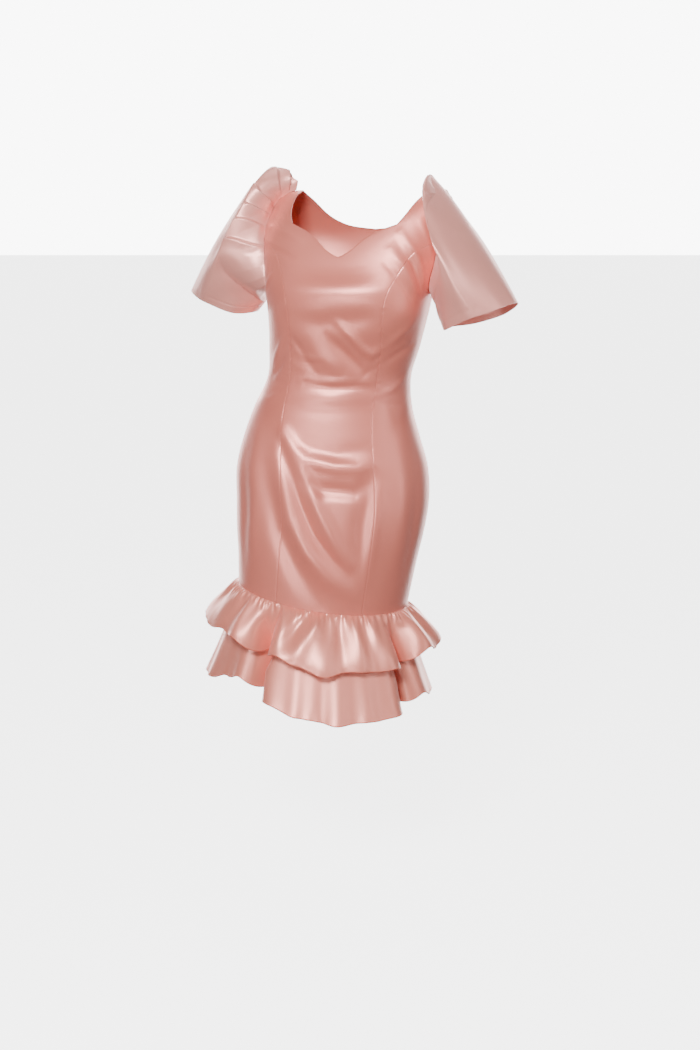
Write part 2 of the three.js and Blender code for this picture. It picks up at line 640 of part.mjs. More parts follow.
// A point of a tier at an angle round the seam and a share of its length down from it.
function tierPoint(tier, angle, share) {
  const [reach, lobes] = tier === UPPER ? [upperReach, UPPER_LOBES] : [lowerReach, LOWER_LOBES];
  const run = formPoint(angle + 1, 0).sub(formPoint(angle - 1, 0)).setZ(0).normalize();
  const flat = new THREE.Vector3(run.y, -run.x, 0);
  const length = tier.length + swells(lobes, angle, 'longer');
  const drop = Math.sqrt(length ** 2 - TIERS.lean * reach(angle, 1) ** 2) * share;
  const lean = swells(LEANS, angle, 'shift') * Math.min(drop / LEAN.depth, LEAN.most) ** LEAN.power;
  return formPoint(angle, 0).addScaledVector(flat, reach(angle, share) - tier.inset)
    .addScaledVector(run, lean).add(new THREE.Vector3(0, 0, -drop - SEAM_GAP));
}

function tierGrids(tier, from) {
  const outer = [];
  const inner = [];
  const [step, halfDegree] = [0.02, 0.5];
  for (let i = tier.rows; i >= 0; i--) {
    const share = (i / tier.rows) ** TIERS.rowPower;
    const places = evenly(tier.halfColumns, (f) => from + 180 * f);
    outer.push(places.map((angle) => tierPoint(tier, angle, share)));
    inner.push(places.map((angle) => {
      const high = tierPoint(tier, angle, Math.max(share - step, 0));
      const up = high.sub(tierPoint(tier, angle, Math.min(share + step, 1)));
      const left = tierPoint(tier, angle + halfDegree, share);
      const normal = left.sub(tierPoint(tier, angle - halfDegree, share)).cross(up).normalize();
      return tierPoint(tier, angle, share).addScaledVector(normal, -WALL);
    }));
  }
  return { outer, inner };
}

// Half a tier. Its two ends stop half a seam gap short of the side seams.
function addTier(name, tier, from) {
  const { outer, inner } = tierGrids(tier, from);
  outer.forEach((points, i) => {
    for (const [end, next] of [[0, 1], [points.length - 1, points.length - 2]]) {
      const shift = points[next].clone().sub(points[end]).setLength(SEAM_GAP / 2);
      points[end].add(shift);
      inner[i][end].add(shift);
    }
  });
  addMesh(name, wallGeometry(outer, inner, false), SATIN);
}

addTier('ruffle_upper_front', UPPER, -90);
addTier('ruffle_upper_back', UPPER, 90);
addTier('ruffle_lower_front', LOWER, -90);
addTier('ruffle_lower_back', LOWER, 90);

// Centre back zip: a small slider under the neck edge, and a drop-shaped pull on its arch.
const ZIP = { level: 11.55, gap: 0.4 };
const SLIDER = { wide: 6, tall: 9.5, thick: 2.6, corner: 2 };
const ARCH = { inner: 2.4, outer: 3.8, wide: 1.6 };
const PULL = {
  barRadius: 0.75, barHeight: 1.2, thick: 1.2, top: 0.8, neck: 2.7, drop: 22, belly: 3.6,
  slot: 1.2, slotDepth: 4.7, eye: 1.4, eyeDrop: 18.2,
};
const ROUND = 24; // segments of the zip's round faces

const wasm = await Module();
wasm.setup();
const { Manifold, Mesh } = wasm;

function toManifold(geometry) {
  const bare = new THREE.BufferGeometry().setAttribute('position', geometry.getAttribute('position'));
  if (geometry.index) bare.setIndex(geometry.index);
  const merged = mergeVertices(bare, 1e-4);
  const vertProperties = merged.getAttribute('position').array;
  const triVerts = new Uint32Array(merged.index.array);
  return new Manifold(new Mesh({ numProp: 3, vertProperties, triVerts }));
}

function fromManifold(solid) {
  const mesh = solid.getMesh();
  const geometry = new THREE.BufferGeometry();
  geometry.setAttribute('position', new THREE.BufferAttribute(new Float32Array(mesh.vertProperties), 3));
  geometry.setIndex([...mesh.triVerts]);
  return geometry;
}

// A plate of an outline in x and y, with its underside at the height `from`.
function plate(shape, thick, from) {
  const geometry = new THREE.ExtrudeGeometry(shape, { depth: thick, bevelEnabled: false, curveSegments: 8 });
  return toManifold(geometry.translate(0, 0, from));
}

function roundedBar(wide, tall, corner) {
  const [x, y] = [wide / 2, tall / 2];
  return new THREE.Shape()
    .moveTo(-x + corner, -y).lineTo(x - corner, -y).quadraticCurveTo(x, -y, x, -y + corner)
    .lineTo(x, y - corner).quadraticCurveTo(x, y, x - corner, y).lineTo(-x + corner, y)
    .quadraticCurveTo(-x, y, -x, y - corner).lineTo(-x, -y + corner)
    .quadraticCurveTo(-x, -y, -x + corner, -y);
}

// The slider stands on z = 0 with its length along y; the arch spans it along y.
function sliderSolid() {
  const body = plate(roundedBar(SLIDER.wide, SLIDER.tall, SLIDER.corner), SLIDER.thick, 0);
  const disc = (radius, wide) => Manifold.cylinder(wide, radius, radius, ROUND, true).rotate([0, 90, 0]);
  const ring = disc(ARCH.outer, ARCH.wide).subtract(disc(ARCH.inner, 2 * ARCH.wide));
  const above = Manifold.cube([SLIDER.wide, 2 * SLIDER.tall, 2 * ARCH.outer], true)
    .translate([0, 0, ARCH.outer - 0.3]);
  return body.add(ring.intersect(above).translate([0, 0, SLIDER.thick]));
}

// The pull hangs along -y from its bar, which lies along x at the height of the hinge.
function pullSolid() {
  const [neckEnd, bendHigh, bendLow] = [-PULL.slotDepth - 2, -PULL.drop * 0.6, -PULL.drop * 0.65];
  const outline = new THREE.Shape()
    .moveTo(-PULL.neck, PULL.top).lineTo(-PULL.neck, neckEnd)
    .bezierCurveTo(-PULL.neck, bendHigh, -PULL.belly, bendLow, -PULL.belly, -PULL.eyeDrop)
    .absarc(0, -PULL.eyeDrop, PULL.belly, Math.PI, 2 * Math.PI, false)
    .bezierCurveTo(PULL.belly, bendLow, PULL.neck, bendHigh, PULL.neck, neckEnd)
    .lineTo(PULL.neck, PULL.top).lineTo(PULL.slot, PULL.top).lineTo(PULL.slot, -PULL.slotDepth)
    .lineTo(-PULL.slot, -PULL.slotDepth).lineTo(-PULL.slot, PULL.top);
  outline.holes.push(new THREE.Path().absarc(0, -PULL.eyeDrop, PULL.eye, 0, 2 * Math.PI, true));
  const tongue = plate(outline, PULL.thick, -PULL.thick / 2);
  const bar = Manifold.cylinder(2 * PULL.slot + 1, PULL.barRadius, PULL.barRadius, ROUND, true);
  return tongue.add(bar.rotate([0, 90, 0]));
}

// The zip's frame on the cloth: x across the seam, y up the seam, z out of the cloth.
function zipFrame() {
  const normal = formNormal(180, ZIP.level, clothPoint);
  const up = clothPoint(180, ZIP.level + 0.05).sub(clothPoint(180, ZIP.level - 0.05)).normalize();
  const origin = clothPoint(180, ZIP.level).addScaledVector(normal, ZIP.gap);
  return new THREE.Matrix4().makeBasis(up.clone().cross(normal), up, normal).setPosition(origin);
}

const zip = zipFrame();
const pull = pullSolid().translate([0, 0, SLIDER.thick + PULL.barHeight]);
addMesh('zip_slider', fromManifold(sliderSolid()).applyMatrix4(zip), METAL);
addMesh('zip_pull', fromManifold(pull).applyMatrix4(zip), METAL);

export default root;
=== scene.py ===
"""The look of the filipiniana dress: fine satin sheets on the sections of its CAD form, in metres.

Angles go round the body in degrees, from 0 at the front to 90 at the wearer's left side. Levels count
the rows of SECTIONS, from the ruffle seam upwards. The order is: form, folds, edges of the panels,
materials, panels, sleeves, ruffles, zip, and then the light, the floor and the camera.
"""
import math

import bpy
import numpy as np
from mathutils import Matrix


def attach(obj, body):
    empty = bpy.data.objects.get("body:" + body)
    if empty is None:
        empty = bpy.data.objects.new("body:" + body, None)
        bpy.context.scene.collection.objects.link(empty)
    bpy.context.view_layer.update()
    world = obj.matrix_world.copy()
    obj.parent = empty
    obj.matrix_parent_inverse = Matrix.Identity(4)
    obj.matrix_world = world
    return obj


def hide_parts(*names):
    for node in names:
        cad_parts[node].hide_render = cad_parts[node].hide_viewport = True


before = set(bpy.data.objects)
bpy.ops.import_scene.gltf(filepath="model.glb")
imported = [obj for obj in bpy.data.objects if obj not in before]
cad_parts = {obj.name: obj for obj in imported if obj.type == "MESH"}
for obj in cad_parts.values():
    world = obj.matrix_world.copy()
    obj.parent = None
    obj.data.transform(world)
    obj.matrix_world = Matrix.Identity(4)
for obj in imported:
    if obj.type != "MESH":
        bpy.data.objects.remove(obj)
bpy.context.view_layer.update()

WALL = 0.0011
SEAM_GAP = 0.00014
SLEEVE_GAP = 0.0005
SLEEVE_STEP = 0.0016

# Sections of the form: z, x, y, yaw, half width, front depth, back depth, squareness of the outline
SECTIONS = np.array([
    (-0.719, -0.031, -0.016, 4, 0.153, 0.112, 0.112, 2.1),
    (-0.647, -0.023, -0.012, 4, 0.161, 0.118, 0.121, 2.15),
    (-0.591, -0.017, -0.008, 4, 0.169, 0.121, 0.128, 2.2),
    (-0.536, -0.013, -0.004, 4, 0.173, 0.121, 0.135, 2.2),
    (-0.481, -0.014, -0.001, 4, 0.171, 0.117, 0.137, 2.2),
    (-0.427, -0.015, 0.001, 5, 0.157, 0.109, 0.129, 2.15),
    (-0.373, -0.012, 0.0, 6, 0.140, 0.099, 0.111, 2.1),
    (-0.320, -0.001, -0.003, 8, 0.127, 0.093, 0.094, 2.1),
    (-0.267, 0.008, -0.007, 11, 0.133, 0.098, 0.089, 2.2),
    (-0.213, 0.015, -0.010, 14, 0.139, 0.112, 0.093, 2.5),
    (-0.170, 0.018, -0.009, 15, 0.146, 0.112, 0.100, 2.5),
    (-0.122, 0.025, -0.005, 17, 0.159, 0.100, 0.104, 2.35),
    (-0.072, 0.029, 0.0, 20, 0.168, 0.084, 0.099, 2.25),
    (-0.036, 0.035, 0.002, 24, 0.166, 0.064, 0.079, 2.15),
    (-0.012, 0.040, 0.002, 26.5, 0.162, 0.036, 0.048, 2.05),
    (0.0, 0.043, 0.002, 27, 0.142, 0.00015, 0.00015, 2),
])
TOP = len(SECTIONS) - 1
HEM_ROLL = 0.135
HEM_SWAG = 0.009
HEM_LEVELS = 2.5

# Where the panels' rows meet the princess seam (angle, level), the side seam and the centre back
SEAM_ROWS = np.array([
    (28.7, 0, 0, 0), (27.5, 1, 1, 1), (26.2, 2, 2, 2), (25.9, 3, 3, 3), (26.1, 4, 4, 4),
    (28.5, 5, 5, 5), (32.3, 6, 6, 6), (35.4, 7, 7, 6.9), (34, 8, 7.8, 7.7), (31.6, 9, 8.6, 8.5),
    (32.3, 10, 9.3, 9.2), (40.8, 11, 9.65, 9.7), (49.6, 11.45, 9.8, 9.9), (71, 11.75, 9.9, 10),
])
SEAM_COUNT = 20
ARMHOLE_COUNT = 6

# Cut edges of the bodice: angle, level
ARMHOLE_LOW = np.array([(90, 9.9), (80, 10.05), (73, 10.5), (70, 11.1), (71, 11.75)])
ARMHOLE_HIGH = np.array([(71, 11.75), (73, 12.6), (73, 13.3), (71.5, 14.1), (70, TOP)])
ARMHOLE_BACK = np.array([(90, 9.9), (98, 10.2), (104, 11.2), (106, 12.6), (107, 14), (110, TOP)])
SHOULDER_EDGE = 70
NECK_EDGE = 58.5
NECK_FRONT = np.array([(NECK_EDGE, TOP), (46.5, 14), (39, 13), (32.5, 12.42)])
NECK_VEE = np.array([(32.5, 12.42), (20, 12.12), (12.5, 11.84), (6, 11.48), (0, 11.24)])
NECK_BACK = np.array([(180 - NECK_EDGE, TOP), (133, 14), (147, 12.9), (163, 12.3), (180, 12.1)])

# Drape folds and creases: width, height (a trough has a height below 0), and the way along the cloth
# through points of (angle, level)
FOLDS = (
    # skirt, front
    (0.015, 0.0075, ((-30, 4.7), (-19, 2.65), (-8.5, 1.6), (3.5, 0.85), (19, 0.55))),
    (0.011, 0.0062, ((-28, 5.3), (-10, 3.9), (-3.5, 2.9), (4, 2.0), (14, 1.25))),
    (0.009, -0.0060, ((-28, 4.9), (-15, 3.2), (-6.5, 2.15), (4, 1.35), (16, 0.9))),
    (0.016, -0.0060, ((-38, 4.2), (-28, 2.3), (-15, 1.0), (0, 0.25))),
    (0.011, 0.0056, ((-28, 5.35), (-10.5, 4.5), (4, 4.3), (16, 4.25), (26, 4.4))),
    (0.013, -0.0062, ((-10, 3.85), (-2, 3.6), (13.5, 3.5), (22, 3.8))),
    (0.010, -0.0022, ((-16, 5.0), (6, 4.75), (25, 4.85))),
    (0.015, -0.0050, ((24, 4.0), (19, 2.5), (22, 1.2))),
    (0.012, 0.0034, ((29, 3.6), (26, 2.0), (27, 0.8))),
    (0.014, 0.0026, ((-52, 5.3), (-47, 3.4), (-50, 1.2))),
    (0.012, -0.0022, ((-62, 4.6), (-58, 2.6), (-62, 0.8))),
    (0.014, 0.0022, ((52, 5.2), (46, 3.2), (48, 1.2))),
    (0.012, -0.0020, ((66, 4.6), (60, 2.4), (62, 0.8))),
    # waist
    (0.0050, -0.0034, ((-20, 6.9), (0, 6.78), (18, 6.85), (33, 6.75))),
    (0.0045, 0.0020, ((-26, 7.12), (2, 7.0), (32, 7.02))),
    (0.008, 0.0014, ((-30, 6.5), (0, 6.45), (32, 6.48))),
    (0.011, -0.0012, ((-30, 6.1), (0, 6.05), (32, 6.1))),
    (0.004, 0.0018, ((-41, 6.65), (-30, 7.0), (-18, 7.15))),
    (0.0045, 0.0018, ((-42, 6.5), (-54, 6.3), (-68, 6.3))),
    (0.004, -0.0014, ((-41, 6.9), (-56, 6.9), (-70, 7.1))),
    (0.0045, 0.0018, ((38, 6.55), (52, 6.7), (68, 7.0))),
    (0.004, -0.0014, ((38, 6.3), (52, 6.2), (66, 6.1))),
    # under the bust
    (0.021, 0.0046, ((-30, 10.05), (0, 10.1), (29, 10.05))),
    (0.019, -0.0056, ((-30, 8.95), (-6, 8.85), (16, 9.0), (29, 9.05))),
    (0.0070, 0.0052, ((1.5, 8.9), (11, 8.45), (20, 8.05), (27, 7.9), (33, 8.05))),
    (0.0085, -0.0052, ((-3, 8.45), (10, 7.8), (23.5, 7.3))),
    (0.018, 0.0044, ((-17, 8.35), (-4, 7.7), (8, 7.3))),
    (0.006, -0.0020, ((-30, 8.4), (-20, 7.7), (-10, 7.2))),
    (0.0045, 0.0018, ((-31, 8.1), (-20, 7.75), (-8, 7.75))),
    (0.0040, 0.0016, ((-34, 7.55), (-22, 7.35), (-10, 7.45))),
    (0.0040, -0.0014, ((20, 7.05), (28, 7.35), (34, 7.4))),
    (0.006, 0.0026, ((-39.5, 8.35), (-50, 7.9), (-62, 7.5))),
    (0.0055, -0.0020, ((-40, 7.8), (-52, 7.3), (-64, 7.0))),
    (0.007, 0.0020, ((37, 8.1), (50, 8.5), (66, 8.9))),
    (0.006, -0.0018, ((38, 7.6), (52, 7.9), (70, 8.2))),
    # chest
    (0.0055, 0.0030, ((35, 12.1), (52, 11.2), (68, 10.3))),
    (0.0062, 0.0026, ((29, 11.5), (46, 10.7), (62, 9.9))),
    (0.0036, -0.0024, ((32, 11.8), (49, 10.95), (65, 10.1))),
    (0.0045, -0.0018, ((26, 11.1), (43, 10.4), (58, 9.6))),
    (0.0045, 0.0018, ((50, 12.6), (60, 11.7), (71, 10.9))),
    (0.008, 0.0024, ((-22, 11.8), (-38, 12.1), (-54, 12.4))),
    (0.006, -0.0020, ((-28, 11.2), (-44, 11.4), (-62, 11.6))),
    (0.006, 0.0018, ((-50, 10.6), (-62, 10.2), (-78, 9.7))),
    # back
    (0.012, -0.0040, ((148, 7.3), (180, 7.35), (212, 7.5))),
    (0.012, 0.0035, ((150, 6.6), (180, 6.75), (208, 6.8))),
    (0.015, 0.0040, ((150, 4.2), (158, 2.4), (172, 0.6))),
    (0.015, -0.0040, ((212, 4.4), (204, 2.6), (192, 0.8))),
    (0.007, 0.0018, ((120, 9.6), (136, 9.1), (152, 8.9))),
    (0.007, 0.0018, ((206, 8.9), (224, 9.1), (240, 9.7))),
    (0.006, -0.0016, ((158, 7.95), (180, 7.75), (202, 7.85))),
    (0.006, 0.0018, ((110, 6.9), (126, 6.7), (142, 6.6))),
    (0.006, 0.0018, ((222, 6.7), (236, 6.8), (250, 7.0))),
    (0.012, -0.0024, ((128, 4.8), (132, 2.8), (126, 1.0))),
    (0.012, 0.0024, ((236, 4.8), (230, 2.8), (234, 1.0))),
)
FOLD_END = 0.1  # the share of a fold's half wave that is cut off at each end


def at_row(table, row):
    """Every column of a table at fractional rows, on a smooth curve through its rows."""
    row = np.asarray(row, float)
    low = np.clip(np.floor(row).astype(int), 0, len(table) - 2)
    f = (row - low)[..., None]
    a, b, c, d = (table[np.clip(low + step, 0, len(table) - 1)] for step in (-1, 0, 1, 2))
    return b + 0.5 * f * (c - a + f * (2 * a - 5 * b + 4 * c - d + f * (3 * (b - c) + d - a)))


def unit(v):
    """The same directions with a length of 1."""
    return v / np.maximum(np.linalg.norm(v, axis=-1, keepdims=True), 1e-12)


def form_point(angle, level):
    """Points of the plain dress form, before its folds."""
    z, x, y, yaw, half, front, back, square = np.moveaxis(at_row(SECTIONS, level), -1, 0)
    sin = np.sin(np.radians(angle))
    cos = np.cos(np.radians(angle))
    across = half * np.sign(sin) * np.abs(sin) ** (2 / square)
    depth = np.where(cos > 0, -front, back) * np.abs(cos) ** (2 / square)
    turn = np.radians(yaw)
    fade = np.maximum(1 - np.asarray(level) / HEM_LEVELS, 0) ** 2
    return np.stack([
        x + across * np.cos(turn) + depth * np.sin(turn),
        y - across * np.sin(turn) + depth * np.cos(turn),
        z + fade * (HEM_SWAG * (across / half) ** 2 - HEM_ROLL * across),
    ], -1)


def normals(point, angle, level, d_angle=1.0, d_level=0.05):
    """Outward unit normals of a surface given by a function of angle and level."""
    angle, level = np.broadcast_arrays(np.asarray(angle, float), np.asarray(level, float))
    round_ = point(angle + d_angle, level) - point(angle - d_angle, level)
    up = point(angle, np.minimum(level + d_level, TOP)) - point(angle, np.maximum(level - d_level, 0))
    normal = unit(np.cross(round_, up))
    normal[level > TOP - 0.01] = (0, 0, 1)
    return normal


def fold_height(here):
    """Height of the folds over the form at some points of it."""
    total = np.zeros(here.shape[:-1])
    for width, rise, way in FOLDS:
        stops = form_point(*np.array(way, float).T)
        nearest = np.full(total.shape, np.inf)
        along = np.zeros(total.shape)
        for k, (start, end) in enumerate(zip(stops[:-1], stops[1:])):
            run = end - start
            off = here - start
            share = np.clip(off @ run / (run @ run), 0, 1)
            apart = np.linalg.norm(off - share[..., None] * run, axis=-1)
            closer = apart < nearest
            nearest[closer] = apart[closer]
            along[closer] = (k + share[closer]) / (len(stops) - 1)
        ends = np.sin(np.pi * (FOLD_END + (1 - 2 * FOLD_END) * along))
        total += rise * ends * np.exp(-(nearest / width) ** 2)
    return total


def cloth_point(angle, level):
    """The cloth: the form with its folds."""
    here = form_point(angle, level)
    return here + normals(form_point, angle, level) * fold_height(here)[..., None]


def grid_normals(grid, closed):
    """Unit normals of a grid of points with rows that run up and columns that run to the left side."""
    if closed:
        round_ = np.roll(grid, -1, 1) - np.roll(grid, 1, 1)
    else:
        round_ = np.gradient(grid, axis=1)
    return unit(np.cross(round_, np.gradient(grid, axis=0)))


def run_lengths(grid, axis):
    """How far each point of a grid lies along its row or column, in metres."""
    steps = np.linalg.norm(np.diff(grid, axis=axis), axis=-1)
    zero = np.zeros_like(np.take(steps, [0], axis=axis))
    return np.cumsum(np.concatenate([zero, steps], axis), axis)


class Curve:
    """A route through tables of (angle, level), each with its own count of steps."""

    def __init__(self, *parts):
        self.parts = parts
        self.total = sum(count for _, count in parts)

    def at(self, share):
        place = np.clip(np.asarray(share, float), 0, 1) * self.total
        found = np.zeros(place.shape + (2,))
        start = 0
        for table, count in self.parts:
            inside = place >= start - 1e-9
            local = np.clip((place[inside] - start) / count, 0, 1) * (len(table) - 1)
            found[inside] = at_row(table, local)
            start += count
        return found


def mirror(table):
    """The same edge on the wearer's right."""
    return table * np.array([-1, 1])


def straight(a, b):
    """A straight edge between two places."""
    return np.array([a, b], float)


princess = SEAM_ROWS[:, :2]
side_seam = np.stack([np.full(len(SEAM_ROWS), 90.0), SEAM_ROWS[:, 2]], 1)
centre_back = np.stack([np.full(len(SEAM_ROWS), 180.0), SEAM_ROWS[:, 3]], 1)
shoulder = straight((SHOULDER_EDGE, TOP), (NECK_EDGE, TOP))
back_shoulder = straight((180 - SHOULDER_EDGE, TOP), (180 - NECK_EDGE, TOP))
half_neck = [(shoulder, 2), (NECK_FRONT, 3), (NECK_VEE, 4)]

# Each panel: its bottom, top, left and right edges, and where the top edge is first felt (middle, sides)
FRONT = {
    "bottom": Curve((straight((-princess[0, 0], 0), (princess[0, 0], 0)), 1)),
    "top": Curve(*[(mirror(t), n) for t, n in half_neck], *[(t[::-1], n) for t, n in half_neck[::-1]]),
    "left": Curve((mirror(princess), SEAM_COUNT), (mirror(ARMHOLE_HIGH), ARMHOLE_COUNT)),
    "right": Curve((princess, SEAM_COUNT), (ARMHOLE_HIGH, ARMHOLE_COUNT)),
    "top_from": (0.55, 0.77),
    "even": True,
}
SIDE = {
    "bottom": Curve((straight((princess[0, 0], 0), (90, 0)), 1)),
    "top": Curve((ARMHOLE_LOW[::-1], 1)),
    "left": Curve((princess, 1)),
    "right": Curve((side_seam, 1)),
    "top_from": (0.75, 0.75),
}
BACK = {
    "bottom": Curve((straight((90, 0), (180, 0)), 1)),
    "top": Curve((back_shoulder, 2), (NECK_BACK, 8)),
    "left": Curve((side_seam, SEAM_COUNT), (ARMHOLE_BACK, ARMHOLE_COUNT)),
    "right": Curve((centre_back, SEAM_COUNT), (straight((180, 10), (180, 12.1)), ARMHOLE_COUNT)),
    "top_from": (0.6, 0.6),
    "even": True,
}


COARSE_ROWS = 26
COARSE_COLUMNS = 18
LEVEL_SCALE = 26  # degrees round the form for each level
COARSE_ROUNDS = 150
FINE_ROUNDS = 40
EDGE_CROWDING = 0.09


def stretched(edges, u, t):
    """The (angle, level) of a panel's grid, blended from its four edges."""
    middle, sides = edges["top_from"]
    begin = middle + (sides - middle) * np.abs(2 * u - 1)
    w = np.maximum((t[:, None] - begin) / (1 - begin), 0)[..., None]
    left, right = edges["left"].at(t)[:, None], edges["right"].at(t)[:, None]
    bottom, top = edges["bottom"].at(u)[None], edges["top"].at(u)[None]
    u = u[None, :, None]
    low = bottom[:, :1] * (1 - u) + bottom[:, -1:] * u
    high = top[:, :1] * (1 - u) + top[:, -1:] * u
    return (1 - w) * (bottom - low) + w * (top - high) + (1 - u) * left + u * right


def evened_out(places, rounds):
    """The same grid with its inside evened out, so that it doesn't fold where its edges turn."""
    grid = places * (1, LEVEL_SCALE)
    for _ in range(rounds):
        across = (grid[1:-1, 2:] - grid[1:-1, :-2]) / 2
        up = (grid[2:, 1:-1] - grid[:-2, 1:-1]) / 2
        a = np.sum(up * up, -1, keepdims=True)
        b = np.sum(across * up, -1, keepdims=True)
        c = np.sum(across * across, -1, keepdims=True)
        twist = (grid[2:, 2:] - grid[2:, :-2] - grid[:-2, 2:] + grid[:-2, :-2]) / 4
        along = a * (grid[1:-1, 2:] + grid[1:-1, :-2]) + c * (grid[2:, 1:-1] + grid[:-2, 1:-1])
        grid[1:-1, 1:-1] = (along - 2 * b * twist) / (2 * (a + c))
    return grid / (1, LEVEL_SCALE)


def resampled(grid, u, t):
    """A grid of places read at shares of its rows and columns."""

    def read(table, share):
        lines = at_row(table.reshape(len(table), -1), share * (len(table) - 1))
        return lines.reshape((-1,) + table.shape[1:])

    return np.swapaxes(read(np.swapaxes(read(grid, t), 0, 1), u), 0, 1)


def panel_places(edges, columns, rows):
    """The (angle, level) of a panel's fine grid, with its columns closer together at the edges."""
    s = np.linspace(0, 1, columns + 1)
    u = s - EDGE_CROWDING * np.sin(2 * np.pi * s)
    t = np.linspace(0, 1, rows + 1)
    fine = stretched(edges, u, t)
    if not edges.get("even"):
        return fine
    coarse_u, coarse_t = np.linspace(0, 1, COARSE_COLUMNS + 1), np.linspace(0, 1, COARSE_ROWS + 1)
    coarse = evened_out(stretched(edges, coarse_u, coarse_t), COARSE_ROUNDS)
    fine[1:-1, 1:-1] = resampled(coarse, u, t)[1:-1, 1:-1]
    return evened_out(fine, FINE_ROUNDS)


PUCKER_LEVEL = 7.2
PUCKER_SPREAD = 2.2
PUCKER_WAVE = 0.0105
PUCKER_HEIGHT = 0.0007
PUCKER_WIDTH = 0.007
PUCKER_LEAST = 0.25
SEAM_SINK = 0.0004
SEAM_WIDTH = 0.0012


def seam_relief(outer, level, seams):
    """How far the cloth sinks along its seams and cut edges, with small puckers at the waist."""
    across = run_lengths(outer, 1)
    along = run_lengths(outer, 0)
    from_edge = {"left": across, "right": across[:, -1:] - across, "top": along[-1:] - along}
    sink = np.zeros(outer.shape[:2])
    for edge, off in from_edge.items():
        sink -= SEAM_SINK * np.exp(-(off / SEAM_WIDTH) ** 2)
        if edge in seams:
            run = along / PUCKER_WAVE
            wave = np.sin(2 * np.pi * run + 1.7 * np.sin(0.9 * run))
            strength = PUCKER_LEAST + np.exp(-((level - PUCKER_LEVEL) / PUCKER_SPREAD) ** 2)
            sink += PUCKER_HEIGHT * strength * wave * np.exp(-(off / PUCKER_WIDTH) ** 2)
    return sink


class Material:
    """The nodes of one material, added and linked with short calls."""

    def __init__(self, name):
        self.material = bpy.data.materials.new(name)
        self.material.use_nodes = True
        self.tree = self.material.node_tree
        self.tree.nodes.clear()
        self.shader = self.add("ShaderNodeBsdfPrincipled")
        output = self.add("ShaderNodeOutputMaterial")
        self.tree.links.new(self.shader.outputs[0], output.inputs["Surface"])

    def add(self, kind, **settings):
        node = self.tree.nodes.new(kind)
        for key, value in settings.items():
            if hasattr(node, key):
                setattr(node, key, value)
            else:
                node.inputs[key.replace("_", " ")].default_value = value
        return node

    def link(self, source, target, socket):
        self.tree.links.new(source, target.inputs[socket])


MOTTLE = 0.07
MOTTLE_SCALE = 9.0
WEAVE_SCALE = 900.0
WEAVE_SHARE = 0.35
SLUB_SCALE = 60.0
BUMP_STRENGTH = 0.08
BUMP_DEPTH = 0.0006
SHEEN_TINT = (1.0, 0.72, 0.68, 1)
# How the satin answers the light, each on the shader's own socket
SATIN_GLOSS = (
    ("Metallic", 0.3), ("Specular IOR Level", 1.0), ("Anisotropic", 0.55),
    ("Sheen Weight", 0.3), ("Sheen Roughness", 0.45), ("Sheen Tint", SHEEN_TINT),
)


def satin(name, colour, roughness):
    """Satin with its weave, faint mottling and soft sheen."""
    m = Material(name)
    place = m.add("ShaderNodeUVMap", uv_map="cloth")
    cloud = m.add("ShaderNodeTexNoise")
    cloud.inputs["Scale"].default_value = MOTTLE_SCALE
    cloud.inputs["Detail"].default_value = 4.0
    m.link(place.outputs[0], cloud, "Vector")
    mottle = m.add("ShaderNodeMix", data_type="RGBA")
    mottle.inputs["A"].default_value = (*((1 - MOTTLE) * part for part in colour), 1)
    mottle.inputs["B"].default_value = (*((1 + MOTTLE) * part for part in colour), 1)
    m.link(cloud.outputs["Fac"], mottle, "Factor")
    m.link(mottle.outputs["Result"], m.shader, "Base Color")
    weave = m.add("ShaderNodeTexWave", wave_type="BANDS", bands_direction="DIAGONAL")
    weave.inputs["Scale"].default_value = WEAVE_SCALE
    weave.inputs["Distortion"].default_value = 2.0
    m.link(place.outputs[0], weave, "Vector")
    slub = m.add("ShaderNodeTexNoise")
    slub.inputs["Scale"].default_value = SLUB_SCALE
    slub.inputs["Detail"].default_value = 6.0
    m.link(place.outputs[0], slub, "Vector")
    height = m.add("ShaderNodeMath", operation="MULTIPLY_ADD")
    height.inputs[1].default_value = WEAVE_SHARE
    m.link(weave.outputs["Fac"], height, 0)
    m.link(slub.outputs["Fac"], height, 2)
    bump = m.add("ShaderNodeBump")
    bump.inputs["Strength"].default_value = BUMP_STRENGTH
    bump.inputs["Distance"].default_value = BUMP_DEPTH
    m.link(height.outputs[0], bump, "Height")
    m.link(bump.outputs[0], m.shader, "Normal")
    m.shader.inputs["Roughness"].default_value = roughness
    for socket, value in SATIN_GLOSS:
        m.shader.inputs[socket].default_value = value
    return m.material


BODY_SATIN = satin("body_satin", (0.80, 0.215, 0.16), 0.37)
# The sleeves' paler base colour is partly their own pale pink and partly a painted highlight, as if they
# were more lit than the body.
SLEEVE_SATIN = satin("sleeve_satin", (0.90, 0.36, 0.30), 0.38)
RUFFLE_SATIN = satin("ruffle_satin", (0.88, 0.27, 0.195), 0.37)
HEM_THREAD = satin("hem_thread", (0.78, 0.17, 0.11), 0.5)


def enamel(name):
    """The zip's coloured enamel, with a little wear."""
    m = Material(name)
    wear = m.add("ShaderNodeTexNoise")
    wear.inputs["Scale"].default_value = 900.0
    rough = m.add("ShaderNodeMapRange")
    rough.inputs["To Min"].default_value = 0.22
    rough.inputs["To Max"].default_value = 0.4
    m.link(wear.outputs["Fac"], rough, "Value")
    m.link(rough.outputs[0], m.shader, "Roughness")
    m.shader.inputs["Base Color"].default_value = (0.62, 0.20, 0.15, 1)
    m.shader.inputs["Metallic"].default_value = 0.35
    m.shader.inputs["Coat Weight"].default_value = 0.5
    return m.material


SHARP_ANGLE = 60


